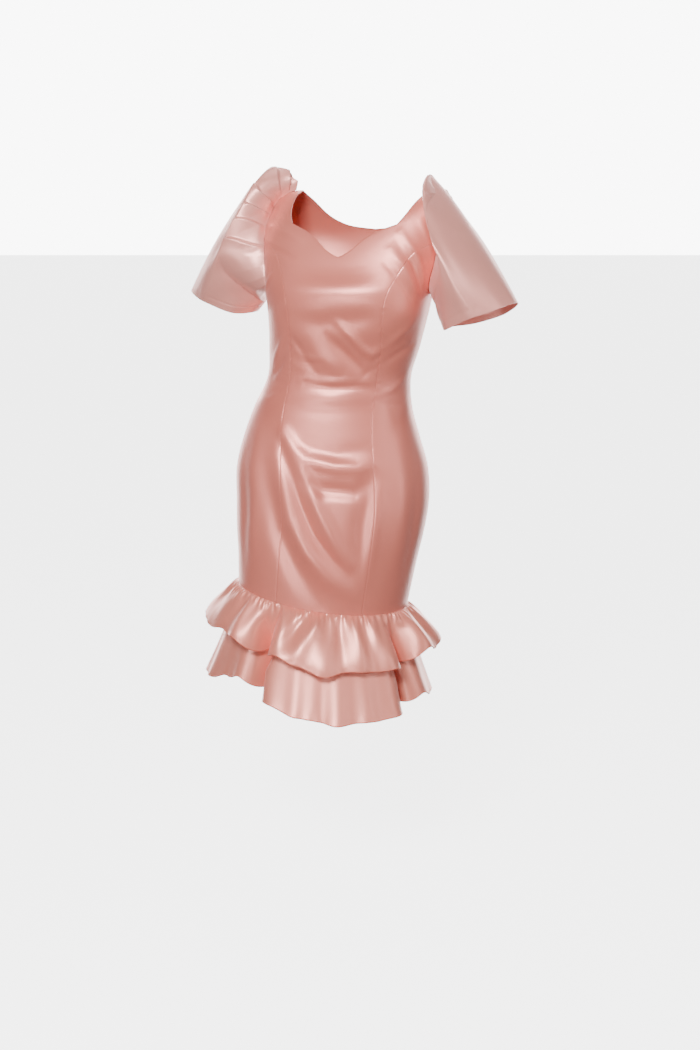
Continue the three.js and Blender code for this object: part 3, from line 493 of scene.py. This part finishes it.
def mesh_object(name, points, faces, uvs, material):
    """A smooth mesh object from points, quads and one uv for each point."""
    mesh = bpy.data.meshes.new(name)
    mesh.vertices.add(len(points))
    mesh.vertices.foreach_set("co", points.astype(np.float32).ravel())
    mesh.loops.add(faces.size)
    mesh.loops.foreach_set("vertex_index", faces.astype(np.int32).ravel())
    mesh.polygons.add(len(faces))
    mesh.polygons.foreach_set("loop_start", np.arange(0, faces.size, 4, dtype=np.int32))
    layer = mesh.uv_layers.new(name="cloth")
    layer.data.foreach_set("uv", uvs[faces.ravel()].astype(np.float32).ravel())
    mesh.update(calc_edges=True)
    mesh.validate()
    mesh.polygons.foreach_set("use_smooth", np.ones(len(mesh.polygons), bool))
    mesh.set_sharp_from_angle(angle=math.radians(SHARP_ANGLE))
    mesh.materials.append(material)
    obj = bpy.data.objects.new(name, mesh)
    bpy.context.scene.collection.objects.link(obj)
    return obj


def grid_quads(rows, columns, closed):
    """Quads of a grid of points, seen from its outer side."""
    j = np.arange(columns if closed else columns - 1)
    i = np.arange(rows - 1)[:, None]
    nxt = (j + 1) % columns
    a, b = i * columns + j, i * columns + nxt
    return np.stack([a, b, b + columns, a + columns], -1).reshape(-1, 4)


def wall_object(name, outer, inner, material, closed=False):
    """A closed wall of cloth between two grids of points."""
    rows, columns = outer.shape[:2]
    count = rows * columns
    faces = grid_quads(rows, columns, closed)
    parts = [faces, faces[:, ::-1] + count]
    j = np.arange(columns if closed else columns - 1)
    nxt = (j + 1) % columns
    parts.append(np.stack([j + count, nxt + count, nxt, j], -1))
    last = (rows - 1) * columns
    parts.append(np.stack([last + j, last + nxt, last + nxt + count, last + j + count], -1))
    if not closed:
        i = np.arange(rows - 1) * columns
        parts.append(np.stack([i, i + columns, i + columns + count, i + count], -1))
        k = i + columns - 1
        parts.append(np.stack([k + count, k + columns + count, k + columns, k], -1))
    uv = np.stack([run_lengths(outer, 1), run_lengths(outer, 0)], -1).reshape(-1, 2)
    points = np.concatenate([outer.reshape(-1, 3), inner.reshape(-1, 3)])
    return mesh_object(name, points, np.concatenate(parts), np.concatenate([uv, uv]), material)


def finish_piece(obj, node):
    """Ties a piece to the dress and hides the solid it stands for."""
    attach(obj, "dress")
    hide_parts(node)


def edge_shift(edge, nxt, gap):
    """How an edge moves, square to itself, towards the next line of points."""
    along = unit(np.gradient(edge, axis=0))
    way = nxt - edge
    return unit(way - along * np.sum(way * along, 1, keepdims=True)) * gap


def shift_edges(outer, gap, rows=True, columns=True):
    """How much each point of a grid moves so that its edges stand back from their seams."""
    shift = np.zeros_like(outer)
    if columns:
        shift[:, 0] += edge_shift(outer[:, 0], outer[:, 1], gap)
        shift[:, -1] += edge_shift(outer[:, -1], outer[:, -2], gap)
    if rows:
        shift[0] += edge_shift(outer[0], outer[1], gap)
        shift[-1] += edge_shift(outer[-1], outer[-2], gap)
    return shift


def build_panel(name, edges, side, columns, rows, seams):
    """One panel of the body; side is -1 for a mirror image in angles on the wearer's right."""
    places = panel_places(edges, columns, rows)
    angle, level = places[..., 0] * side, places[..., 1]
    if side < 0:
        angle, level = angle[:, ::-1], level[:, ::-1]
        swap = {"left": "right", "right": "left"}
        seams = [swap.get(seam, seam) for seam in seams]
    outer = cloth_point(angle, level)
    normal = normals(cloth_point, angle, level, 0.5, 0.02)
    outer = outer + normal * seam_relief(outer, level, seams)[..., None]
    shift = shift_edges(outer, SEAM_GAP / 2)
    obj = wall_object(name, outer + shift, outer + shift - normal * WALL, BODY_SATIN)
    finish_piece(obj, name)
    return obj


# Columns and rows of each panel's fine grid
FRONT_GRID = (108, 156)
SIDE_GRID = (48, 140)
BACK_GRID = (72, 156)
front_centre = build_panel("front_centre", FRONT, 1, *FRONT_GRID, ["left", "right"])
front_side_left = build_panel("front_side_left", SIDE, 1, *SIDE_GRID, ["left"])
front_side_right = build_panel("front_side_right", SIDE, -1, *SIDE_GRID, ["left"])
back_left = build_panel("back_left", BACK, 1, *BACK_GRID, ["right"])
back_right = build_panel("back_right", BACK, -1, *BACK_GRID, ["right"])

# Sleeve stations: share round from the underarm, ridge (out, front, up), hem (out, front, up), puff, bulge
SLEEVE = np.array([
    (0, 0.044, 0.004, -0.196, 0.062, 0.002, -0.214, 0, 0),
    (0.1, 0.066, 0.048, -0.172, 0.088, 0.048, -0.220, 0.006, 0.002),
    (0.2, 0.096, 0.080, -0.130, 0.134, 0.059, -0.212, 0.008, 0.003),
    (0.3, 0.086, 0.088, -0.086, 0.160, 0.048, -0.208, 0.011, 0.006),
    (0.4, 0.058, 0.072, -0.030, 0.181, 0.028, -0.203, 0.014, 0.008),
    (0.455, 0.040, 0.046, 0.014, 0.187, 0.012, -0.200, 0.012, 0.010),
    (0.5, 0.027, 0.004, 0.039, 0.190, -0.004, -0.198, 0.010, 0.012),
    (0.56, 0.033, -0.028, 0.002, 0.187, -0.020, -0.198, 0.008, 0.010),
    (0.66, 0.058, -0.044, -0.047, 0.176, -0.038, -0.201, 0.009, 0.006),
    (0.76, 0.086, -0.054, -0.092, 0.155, -0.055, -0.206, 0.008, 0.004),
    (0.84, 0.094, -0.058, -0.134, 0.128, -0.062, -0.212, 0.006, 0.003),
    (0.92, 0.066, -0.038, -0.172, 0.088, -0.042, -0.216, 0.004, 0.002),
])
SLEEVE_MIDDLE = -0.105
SLEEVE_GRID = (430, 26, 34)  # columns, rows of the cap, rows below the ridge
# Side, swing, place off the shoulder point, sink of the top, rise and tilt of the hem, and the share of
# the pleats' depth that is left at the ridge
SLEEVE_POSE = {
    "left": (1, 9, -0.034, 0.015, 0, 0.24, 0.05),
    "right": (-1, -6, 0.017, 0, 0.012, 0.2, 0.45),
}
HEM_PIVOT = 0.125
PLEAT_DEPTH = 0.0075
FRONT_PLEATS = (0.19, 0.5, 7)
BACK_PLEATS = (0.5, 0.81, 6)
PLEAT_SPREAD = 0.26
PLEAT_LEAD = 0.085
PLEAT_SLOPE = 0.88  # the share of a pleat that rises before it drops back
PLEAT_POWER = 1.4
PLEAT_START = 0.12
PLEAT_UNEVEN = 0.05
PLEAT_DEEPER = 1.3
PLEAT_DEPTH_SPREAD = 0.6
PRESS_WIDTH = 0.07
SLEEVE_DENT = 0.0011
SLEEVE_STITCH = 0.014
STITCH_DEPTH = 0.0006
STITCH_WIDTH = 0.0012


def ring_at(stations, share):
    """Every column of a table of stations at shares round a closed ring."""
    shares = stations[:, 0]
    low = np.searchsorted(shares, share, side="right") - 1
    count = len(shares)
    near = []
    for step in (-1, 0, 1, 2):
        turns, index = np.divmod(low + step, count)
        row = stations[index].copy()
        row[:, 0] += turns
        near.append(row)
    p0, p1, p2, p3 = near
    span = p2[:, :1] - p1[:, :1]
    f = (share[:, None] - p1[:, :1]) / span
    m1 = (p2 - p0) * span / (p2[:, :1] - p0[:, :1])
    m2 = (p3 - p1) * span / (p3[:, :1] - p1[:, :1])
    rise = p2 - p1
    return p1 + f * (m1 + f * (3 * rise - 2 * m1 - m2 + f * (m1 + m2 - 2 * rise)))


def pleat_lift(share, lead):
    """Knife pleats that run towards the crown by a lead of shares, each dropping back at its edge."""
    lift = np.zeros_like(share)
    for (start, end, count), way in ((FRONT_PLEATS, 1), (BACK_PLEATS, -1)):
        place = (share - lead * way - start) / (end - start)
        inside = (place >= 0) & (place < 1) & (way * (share - 0.5) < 0)
        place = place[inside]
        place = (place + PLEAT_UNEVEN * np.sin(2 * np.pi * place) * np.sin(9 * place + 1)) * count
        f = place % 1
        f = f if way > 0 else 1 - f
        depth = PLEAT_DEPTH * (PLEAT_DEEPER + PLEAT_DEPTH_SPREAD * np.sin(2.4 * np.floor(place) + 1))
        rise = (f / PLEAT_SLOPE) ** PLEAT_POWER
        lift[inside] = depth * np.where(f < PLEAT_SLOPE, rise, (1 - f) / (1 - PLEAT_SLOPE))
    return lift


def armhole_ring(side):
    """The bodice's armhole, from the underarm round the front, the shoulder and the back."""
    front = Curve((ARMHOLE_LOW, 6), (ARMHOLE_HIGH, 6)).at(np.linspace(0, 1, 13))
    back = Curve((ARMHOLE_BACK[::-1], 6)).at(np.linspace(0, 1, 7))[1:-1]
    places = np.concatenate([front, back])
    shares = np.concatenate([np.linspace(0, 0.5, 13), 0.5 + 0.5 * np.arange(1, 6) / 6, [1]])
    edge = cloth_point(side * places[:, 0], places[:, 1])
    normal = normals(cloth_point, side * places[:, 0], places[:, 1])
    away = unit(np.cross(np.roll(edge, -1, 0) - np.roll(edge, 1, 0), normal))
    away *= np.sign(np.sum(away * (edge.mean(0) - edge), 1))[:, None]
    outer = edge + away * SLEEVE_GAP + normal * SLEEVE_STEP
    inner = outer - normal * WALL
    close = [0]
    return shares, np.concatenate([outer, outer[close]]), np.concatenate([inner, inner[close]])


def spread(shares, values, at):
    """Points between those given at some shares."""
    return np.stack([np.interp(at, shares, values[:, k]) for k in range(3)], -1)


def bent(start, end, middle, share, rise, f):
    """A row of curves from start to end that bow away from a middle line."""
    control = start + (end - start) * share
    control = control + unit(control - middle) * 2 * rise
    f = f[:, None, None]
    return (1 - f) ** 2 * start + 2 * f * (1 - f) * control + f ** 2 * end


def build_sleeve(name, side, swing, out, sink, rise, tilt, left_over):
    """One sleeve, from the hem up to the ridge and down its pleated cap to the armhole."""
    columns, cap_rows, drop_rows = SLEEVE_GRID
    share = np.arange(columns) / columns
    at = ring_at(SLEEVE, share)
    shares, edge_outer, edge_inner = armhole_ring(side)
    start, start_inner = spread(shares, edge_outer, share), spread(shares, edge_inner, share)
    origin = form_point(side * SHOULDER_EDGE, TOP)
    turn = math.radians(SECTIONS[TOP, 3] + swing)
    forward = np.array([-math.sin(turn), -math.cos(turn), 0])
    outward = np.array([math.cos(turn), -math.sin(turn), 0]) * side
    up = np.array([0, 0, 1.0])

    def place(away, front, height):
        away, front, height = (np.asarray(v, float)[:, None] for v in (away, front, height))
        return origin + outward * (out + away) + forward * front + up * height

    press = sink * np.exp(-((share - 0.5) / PRESS_WIDTH) ** 2)
    ridge = place(at[:, 1], at[:, 2], at[:, 3] - press)
    hem = place(at[:, 4], at[:, 5], at[:, 6] + rise + tilt * (at[:, 4] - HEM_PIVOT))
    zero = np.zeros(columns)
    middle = place(0.45 * at[:, 4], zero, zero + SLEEVE_MIDDLE)
    puff, bulge = at[:, 7:8], at[:, 8:9]
    f_cap = np.linspace(0, 1, cap_rows + 1)
    f_drop = np.linspace(0, 1, drop_rows + 1)[1:]
    cap = bent(start, ridge, middle, 0.5, puff, f_cap)
    drop = bent(ridge, hem, middle, 0.4, bulge, f_drop)
    crown = np.exp(-((share - 0.5) / PLEAT_SPREAD) ** 4)
    fading = (1 - left_over) * f_cap ** (0.4 + 2 * left_over)
    start_up = np.minimum(f_cap / PLEAT_START, 1) * (1 - fading)
    lift = np.stack([pleat_lift(share, PLEAT_LEAD * f) for f in f_cap]) * crown * start_up[:, None]
    cap = cap + unit(cap - middle) * lift[..., None]
    fade = left_over * np.maximum(1 - 4 * f_drop, 0)[:, None] ** 1.5
    lift = pleat_lift(share, PLEAT_LEAD)[None] * crown * fade
    drop = drop + unit(drop - middle) * lift[..., None]
    outer = np.concatenate([cap, drop])[::-1]
    firsts = start_inner
    if side < 0:
        outer, firsts = outer[:, ::-1], firsts[::-1]
    normal = grid_normals(outer, True)
    down = run_lengths(outer, 0)
    stitches = STITCH_DEPTH * np.exp(-((down - SLEEVE_STITCH) / STITCH_WIDTH) ** 2)
    rise_share = np.linspace(0, 1, len(outer))[:, None]
    turn = 2 * np.pi * share[None]
    dents = np.sin(5 * turn + 5 * rise_share) + 0.7 * np.sin(9 * turn - 7 * rise_share + 1)
    dents = SLEEVE_DENT * dents * np.sin(np.pi * rise_share) ** 2
    outer = outer + normal * (dents - stitches)[..., None]
    inner = outer - normal * WALL
    inner[-1] = firsts
    obj = wall_object(name, outer, inner, SLEEVE_SATIN, closed=True)
    finish_piece(obj, name)
    return obj


sleeve_left = build_sleeve("sleeve_left", *SLEEVE_POSE["left"])
sleeve_right = build_sleeve("sleeve_right", *SLEEVE_POSE["right"])

# Ruffle tiers, as in the CAD: lobes are angle, width, depth and how much longer the tier hangs there
UPPER = {
    "length": 0.100, "flare": 0.042, "bow": 1.35, "inset": 0.0, "lobes": np.array([
        (-92, 22, 22, -8), (-62, 10, 0, -16), (-47, 8, 14, -10), (-31, 6.5, -41, -14), (-20, 6, 12, -6),
        (-9, 8, 12, 2), (4, 8, 18, 16), (22, 9, 8, 2), (42, 6, 12, 2), (54, 6, -39, -10),
        (68, 10, 16, -14), (92, 14, 20, -8), (122, 9, -24, 0), (146, 12, 18, 4), (170, 8, -22, 0),
        (194, 12, 20, 4), (218, 8, -24, 0), (240, 12, 14, 0),
    ]),
}
LOWER = {
    "length": 0.182, "flare": 0.046, "spread": 1.25, "inset": 0.0024, "lobes": np.array([
        (-88, 18, 18, 0), (-62, 9, -4, -20), (-48, 8, 0, -30), (-34, 7.5, -56, -22), (-22, 7, 16, -6),
        (-8, 9, 22, 8), (10, 9, 24, 14), (28, 9, 20, 6), (42, 7, 16, 0), (54, 7, -58, -26),
        (70, 9, 0, -24), (90, 14, 2, -14), (124, 9, -30, 0), (150, 14, 18, 6), (178, 8, -26, 0),
        (205, 14, 20, 6), (232, 8, -28, 0), (251, 10, 6, -8),
    ]),
}
# Sideways lean of both tiers 100 mm below the seam: angle, width, shift
LEANS = np.array([
    (-24, 6, -13), (-38, 6, 4), (46, 6, 11), (60, 5, -4),
    (158, 6, -5), (184, 6, 5), (206, 6, -5), (230, 6, 5),
])
LEAN_DEPTH = 0.1
LEAN_MOST = 1.2
LEAN_POWER = 1.4
TIER_LEAN = 1.1
TIER_CLEARANCE = 0.006
TIER_NEAR = 2.5
TIER_EASE = 0.004
# Fans of the upper tier: angle at the seam, angle at the hem, width, height in mm
FANS = (
    (-23, -29, 4, -8), (-34, -42, 5, 7), (-6, -20, 4, -8), (1, -12, 4.5, 8), (12, 14, 4.5, -9),
    (22, 27, 4, 6), (33, 38, 4.5, 7), (44, 53, 4, -7), (-50, -57, 5, -6), (-64, -72, 6, 6),
    (-80, -86, 6, -6), (64, 70, 5, 6), (78, 84, 5, -6), (100, 104, 6, 6), (118, 122, 6, -6),
    (134, 128, 6, 7), (152, 158, 6, -7), (170, 164, 6, 6), (186, 192, 6, -6), (204, 198, 6, 7),
    (222, 228, 6, -7), (242, 237, 6, 6),
)
FAN_PEAK = 0.4
GATHERS = 30
GATHER_HEIGHT = 0.005
GATHER_PEAK = 0.15
PUCKERS = 88
PUCKER_RISE = 0.0019
PUCKER_REACH = 0.11
BROAD_FOLDS = 23
BROAD_RISE = 0.0018
BROAD_PEAK = 0.42
FLUTES = 15
FLUTE_RISE = 0.0030
CURL = 0.0005
CURL_REACH = 0.008
HEM_RADIUS = 0.0011


def swells(table, angle, column):
    """A column of a table in millimetres, each row a soft swell of its width round its angle."""
    total = np.zeros_like(angle)
    for row in table:
        off = ((angle - row[0] + 900) % 360 - 180) / row[1]
        total += row[column] / 1000 * np.exp(-off * off)
    return total


def swell_down(share, peak):
    """A swell down the tier that is 0 at the seam and 1 at its peak."""
    return share / peak * np.exp(1 - share / peak)


def gather_height(angle, share):
    """The gathers of the upper tier, which the solids have too."""
    turn = np.radians(angle + 90)
    phase = GATHERS * turn + 1.1 * np.sin(3 * turn + 1) + 0.8 * np.sin(7 * turn + 2)
    height = GATHER_HEIGHT * (0.8 + 0.35 * np.sin(5 * turn + 0.7))
    strength = swell_down(share, GATHER_PEAK) * np.sqrt(1 - share)
    return height * (0.5 - 0.5 * np.cos(phase)) * strength


def slanted(table, angle, share):
    """Folds that fan out from the seam: how far they lift the cloth."""
    total = np.zeros_like(angle)
    for seam_angle, hem_angle, width, height in table:
        middle = seam_angle + (hem_angle - seam_angle) * share
        off = ((angle - middle + 900) % 360 - 180) / (width * (0.6 + 0.6 * share))
        total += height / 1000 * np.exp(-off * off)
    return total * swell_down(share, FAN_PEAK) * (1 - 0.5 * share)


def fine_gathers(angle, share):
    """The small puckers where the gathering stitches pull, and the soft folds that run out of them."""
    turn = np.radians(angle)
    small = np.sin(PUCKERS * turn + 3 * np.sin(5 * turn) + 2 * np.sin(11 * turn + 1))
    drift = 2.4 * np.sin(4 * turn + 2) + 1.6 * share + 1.2 * np.sin(9 * turn)
    broad = np.sin(BROAD_FOLDS * turn + drift)
    near = np.exp(-(share / PUCKER_REACH) ** 1.5) * np.minimum(share * 40, 1)
    out = swell_down(share, BROAD_PEAK) * np.sqrt(1 - share)
    patch = 0.45 + 0.55 * np.sin(3 * turn + 4 * share + 1.5)
    fans = slanted(FANS, angle, share)
    return PUCKER_RISE * (0.4 + small) * near + BROAD_RISE * broad * out * patch + fans


def flutes(angle, share):
    """Soft flutes that widen down the lower tier."""
    turn = np.radians(angle)
    wave = np.sin(FLUTES * turn + 2.5 * np.sin(5 * turn + 1) + 1.5 * np.sin(8 * turn))
    return FLUTE_RISE * wave * share ** 1.5 * (1 - 0.4 * share)


def upper_flare(angle, share):
    """How far the upper tier stands out before its gathers."""
    flare = UPPER["flare"] + swells(UPPER["lobes"], angle, 2)
    return flare * (1 - (1 - share) ** UPPER["bow"])


def upper_reach(angle, share):
    """How far the upper tier stands out."""
    return upper_flare(angle, share) + gather_height(angle, share)


def lower_reach(angle, share):
    """How far the lower tier stands out, kept inside the upper one."""
    flare = LOWER["flare"] + swells(LOWER["lobes"], angle, 2)
    above = np.minimum(share * LOWER["length"] / UPPER["length"], 1)
    near = [upper_flare(angle + step * TIER_NEAR, above) for step in (-1, 0, 1)]
    limit = np.minimum.reduce(near) - TIER_CLEARANCE * np.minimum(4 * share, 1)
    room = np.maximum(share * LOWER["length"] - UPPER["length"] - TIER_EASE, 0)
    return np.minimum(flare * share ** LOWER["spread"], limit + room)


def tier_point(tier, angle, share):
    """A tier's points; the finest gathers and the waves of the rolled hem are those of the look."""
    reach = upper_reach if tier is UPPER else lower_reach
    seam = form_point(angle, np.zeros_like(angle))
    run = form_point(angle + 1, np.zeros_like(angle)) - form_point(angle - 1, np.zeros_like(angle))
    run = unit(run * (1, 1, 0))
    flat = np.stack([run[..., 1], -run[..., 0], np.zeros_like(angle)], -1)
    length = tier["length"] + swells(tier["lobes"], angle, 3)
    drop = np.sqrt(length ** 2 - TIER_LEAN * reach(angle, np.ones_like(angle)) ** 2) * share
    lean = swells(LEANS, angle, 2) * np.minimum(drop / LEAN_DEPTH, LEAN_MOST) ** LEAN_POWER
    turn = np.radians(angle)
    wave = np.sin(31 * turn + 3 * np.sin(5 * turn) + 2 * np.sin(13 * turn))
    curl = CURL * wave * np.exp(-(1 - share) * length / CURL_REACH)
    fine = fine_gathers if tier is UPPER else flutes
    out = reach(angle, share) - tier["inset"] + curl + fine(angle, share)
    point = seam + flat * out[..., None] + run * lean[..., None]
    point[..., 2] -= drop + SEAM_GAP
    return point


def hem_roll(name, line):
    """A thin rolled hem along a line of points."""
    sides = 8
    run = unit(np.gradient(line, axis=0))
    across = unit(np.cross(run, (0, 0, 1.0)))
    lift = np.cross(across, run)
    turn = np.linspace(0, 2 * np.pi, sides, endpoint=False)[None, :, None]
    ring = line[:, None] + HEM_RADIUS * (across[:, None] * np.cos(turn) + lift[:, None] * np.sin(turn))
    uv = np.stack([run_lengths(ring, 1), run_lengths(ring, 0)], -1).reshape(-1, 2)
    count = len(line)
    faces = grid_quads(count, sides, True)
    obj = mesh_object(name, ring.reshape(-1, 3), faces, uv, HEM_THREAD)
    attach(obj, "dress")
    return obj


def build_tier(name, tier, start, columns, rows):
    """Half a tier, from a side seam to the other, with its rolled hem."""
    angle = np.linspace(start, start + 180, columns + 1)[None] * np.ones((rows + 1, 1))
    share = np.linspace(1, 0, rows + 1)[:, None] ** 1.1 * np.ones((1, columns + 1))
    outer = tier_point(tier, angle, share)
    outer = outer + shift_edges(outer, SEAM_GAP / 2, rows=False)
    normal = grid_normals(outer, False)
    inner = outer - normal * WALL
    obj = wall_object(name, outer, inner, RUFFLE_SATIN)
    finish_piece(obj, name)
    roll = hem_roll(name + "_hem", (outer[0] + inner[0]) / 2)
    return obj, roll


UPPER_GRID = (520, 30)
LOWER_GRID = (400, 36)
upper_front, upper_front_hem = build_tier("ruffle_upper_front", UPPER, -90, *UPPER_GRID)
upper_back, upper_back_hem = build_tier("ruffle_upper_back", UPPER, 90, *UPPER_GRID)
lower_front, lower_front_hem = build_tier("ruffle_lower_front", LOWER, -90, *LOWER_GRID)
lower_back, lower_back_hem = build_tier("ruffle_lower_back", LOWER, 90, *LOWER_GRID)

zip_enamel = enamel("zip_enamel")
for node in ("zip_slider", "zip_pull"):
    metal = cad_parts[node]
    metal.data.materials.clear()
    metal.data.materials.append(zip_enamel)
    metal.material_slots[0].link = "OBJECT"
    metal.material_slots[0].material = zip_enamel


def area_light(name, place, aim, size, power):
    """A soft rectangular light that looks at a point."""
    light = bpy.data.lights.new(name, "AREA")
    light.shape = "RECTANGLE"
    light.size, light.size_y = size
    light.energy = power
    obj = bpy.data.objects.new(name, light)
    way = np.array(aim) - np.array(place)
    obj.location = place
    obj.rotation_euler = (
        math.atan2(math.hypot(way[0], way[1]), -way[2]), 0, math.atan2(-way[0], way[1]),
    )
    bpy.context.scene.collection.objects.link(obj)


area_light("key", (-0.55, -2.5, 0.95), (0, 0, -0.30), (0.8, 0.6), 104)
area_light("front", (-0.9, -2.6, -0.5), (0, 0, -0.65), (0.5, 1.0), 27)
area_light("fill", (2.0, -1.5, -0.1), (0, 0, -0.45), (0.6, 1.6), 12)
area_light("top", (0.2, 0.3, 1.9), (0, 0, -0.2), (1.4, 0.8), 12)

# The plain pale floor, below the dress. It gives light of its own, so that it looks nearly as pale as the
# wall, and it's hidden from bounced rays, so that this light doesn't reach the dress.
FLOOR_HEIGHT = -1.34
FLOOR_HALF = 30.0
floor_mesh = bpy.data.meshes.new("floor")
corners = ((-1, -1), (1, -1), (1, 1), (-1, 1))
floor_corners = [(x * FLOOR_HALF, y * FLOOR_HALF, FLOOR_HEIGHT) for x, y in corners]
floor_mesh.from_pydata(floor_corners, [], [(0, 1, 2, 3)])
floor_paint = Material("floor_paint")
floor_paint.shader.inputs["Base Color"].default_value = (0.93, 0.93, 0.93, 1)
floor_paint.shader.inputs["Roughness"].default_value = 0.9
floor_paint.shader.inputs["Emission Color"].default_value = (1, 1, 1, 1)
floor_paint.shader.inputs["Emission Strength"].default_value = 3.5
floor_mesh.materials.append(floor_paint.material)
floor = bpy.data.objects.new("floor", floor_mesh)
bpy.context.scene.collection.objects.link(floor)
floor.visible_diffuse = False
floor.visible_glossy = False

# The white wall behind the dress, as a bright part of the room: where it starts and is full, and both lights
WALL_START = 0.62
WALL_FULL = 0.84
ROOM_LIGHT = 0.09
WALL_LIGHT = 9.0
world = bpy.data.worlds.new("studio")
world.use_nodes = True
bpy.context.scene.world = world
nodes, links = world.node_tree.nodes, world.node_tree.links
background = nodes["Background"]
background.inputs["Color"].default_value = (1, 1, 1, 1)
where = nodes.new("ShaderNodeTexCoord")
parts = nodes.new("ShaderNodeSeparateXYZ")
bright = nodes.new("ShaderNodeMapRange")
bright.interpolation_type = "SMOOTHSTEP"
bright.inputs["From Min"].default_value = WALL_START
bright.inputs["From Max"].default_value = WALL_FULL
bright.inputs["To Min"].default_value = ROOM_LIGHT
bright.inputs["To Max"].default_value = WALL_LIGHT
links.new(where.outputs["Generated"], parts.inputs[0])
links.new(parts.outputs["Y"], bright.inputs["Value"])
links.new(bright.outputs[0], background.inputs["Strength"])

# The photo's camera: level with the shoulders, 2.7 m away, tipped down
CAMERA_PLACE = (0.0176, -2.70, 0.0)
CAMERA_TIP = 12.35
CAMERA_LENS = 52.46
camera = bpy.data.cameras.new("camera")
camera.sensor_fit = "VERTICAL"
camera.sensor_height = 36
camera.lens = CAMERA_LENS
viewer = bpy.data.objects.new("camera", camera)
viewer.location = CAMERA_PLACE
viewer.rotation_euler = (math.radians(90 - CAMERA_TIP), 0, 0)
bpy.context.scene.collection.objects.link(viewer)
bpy.context.scene.camera = viewer
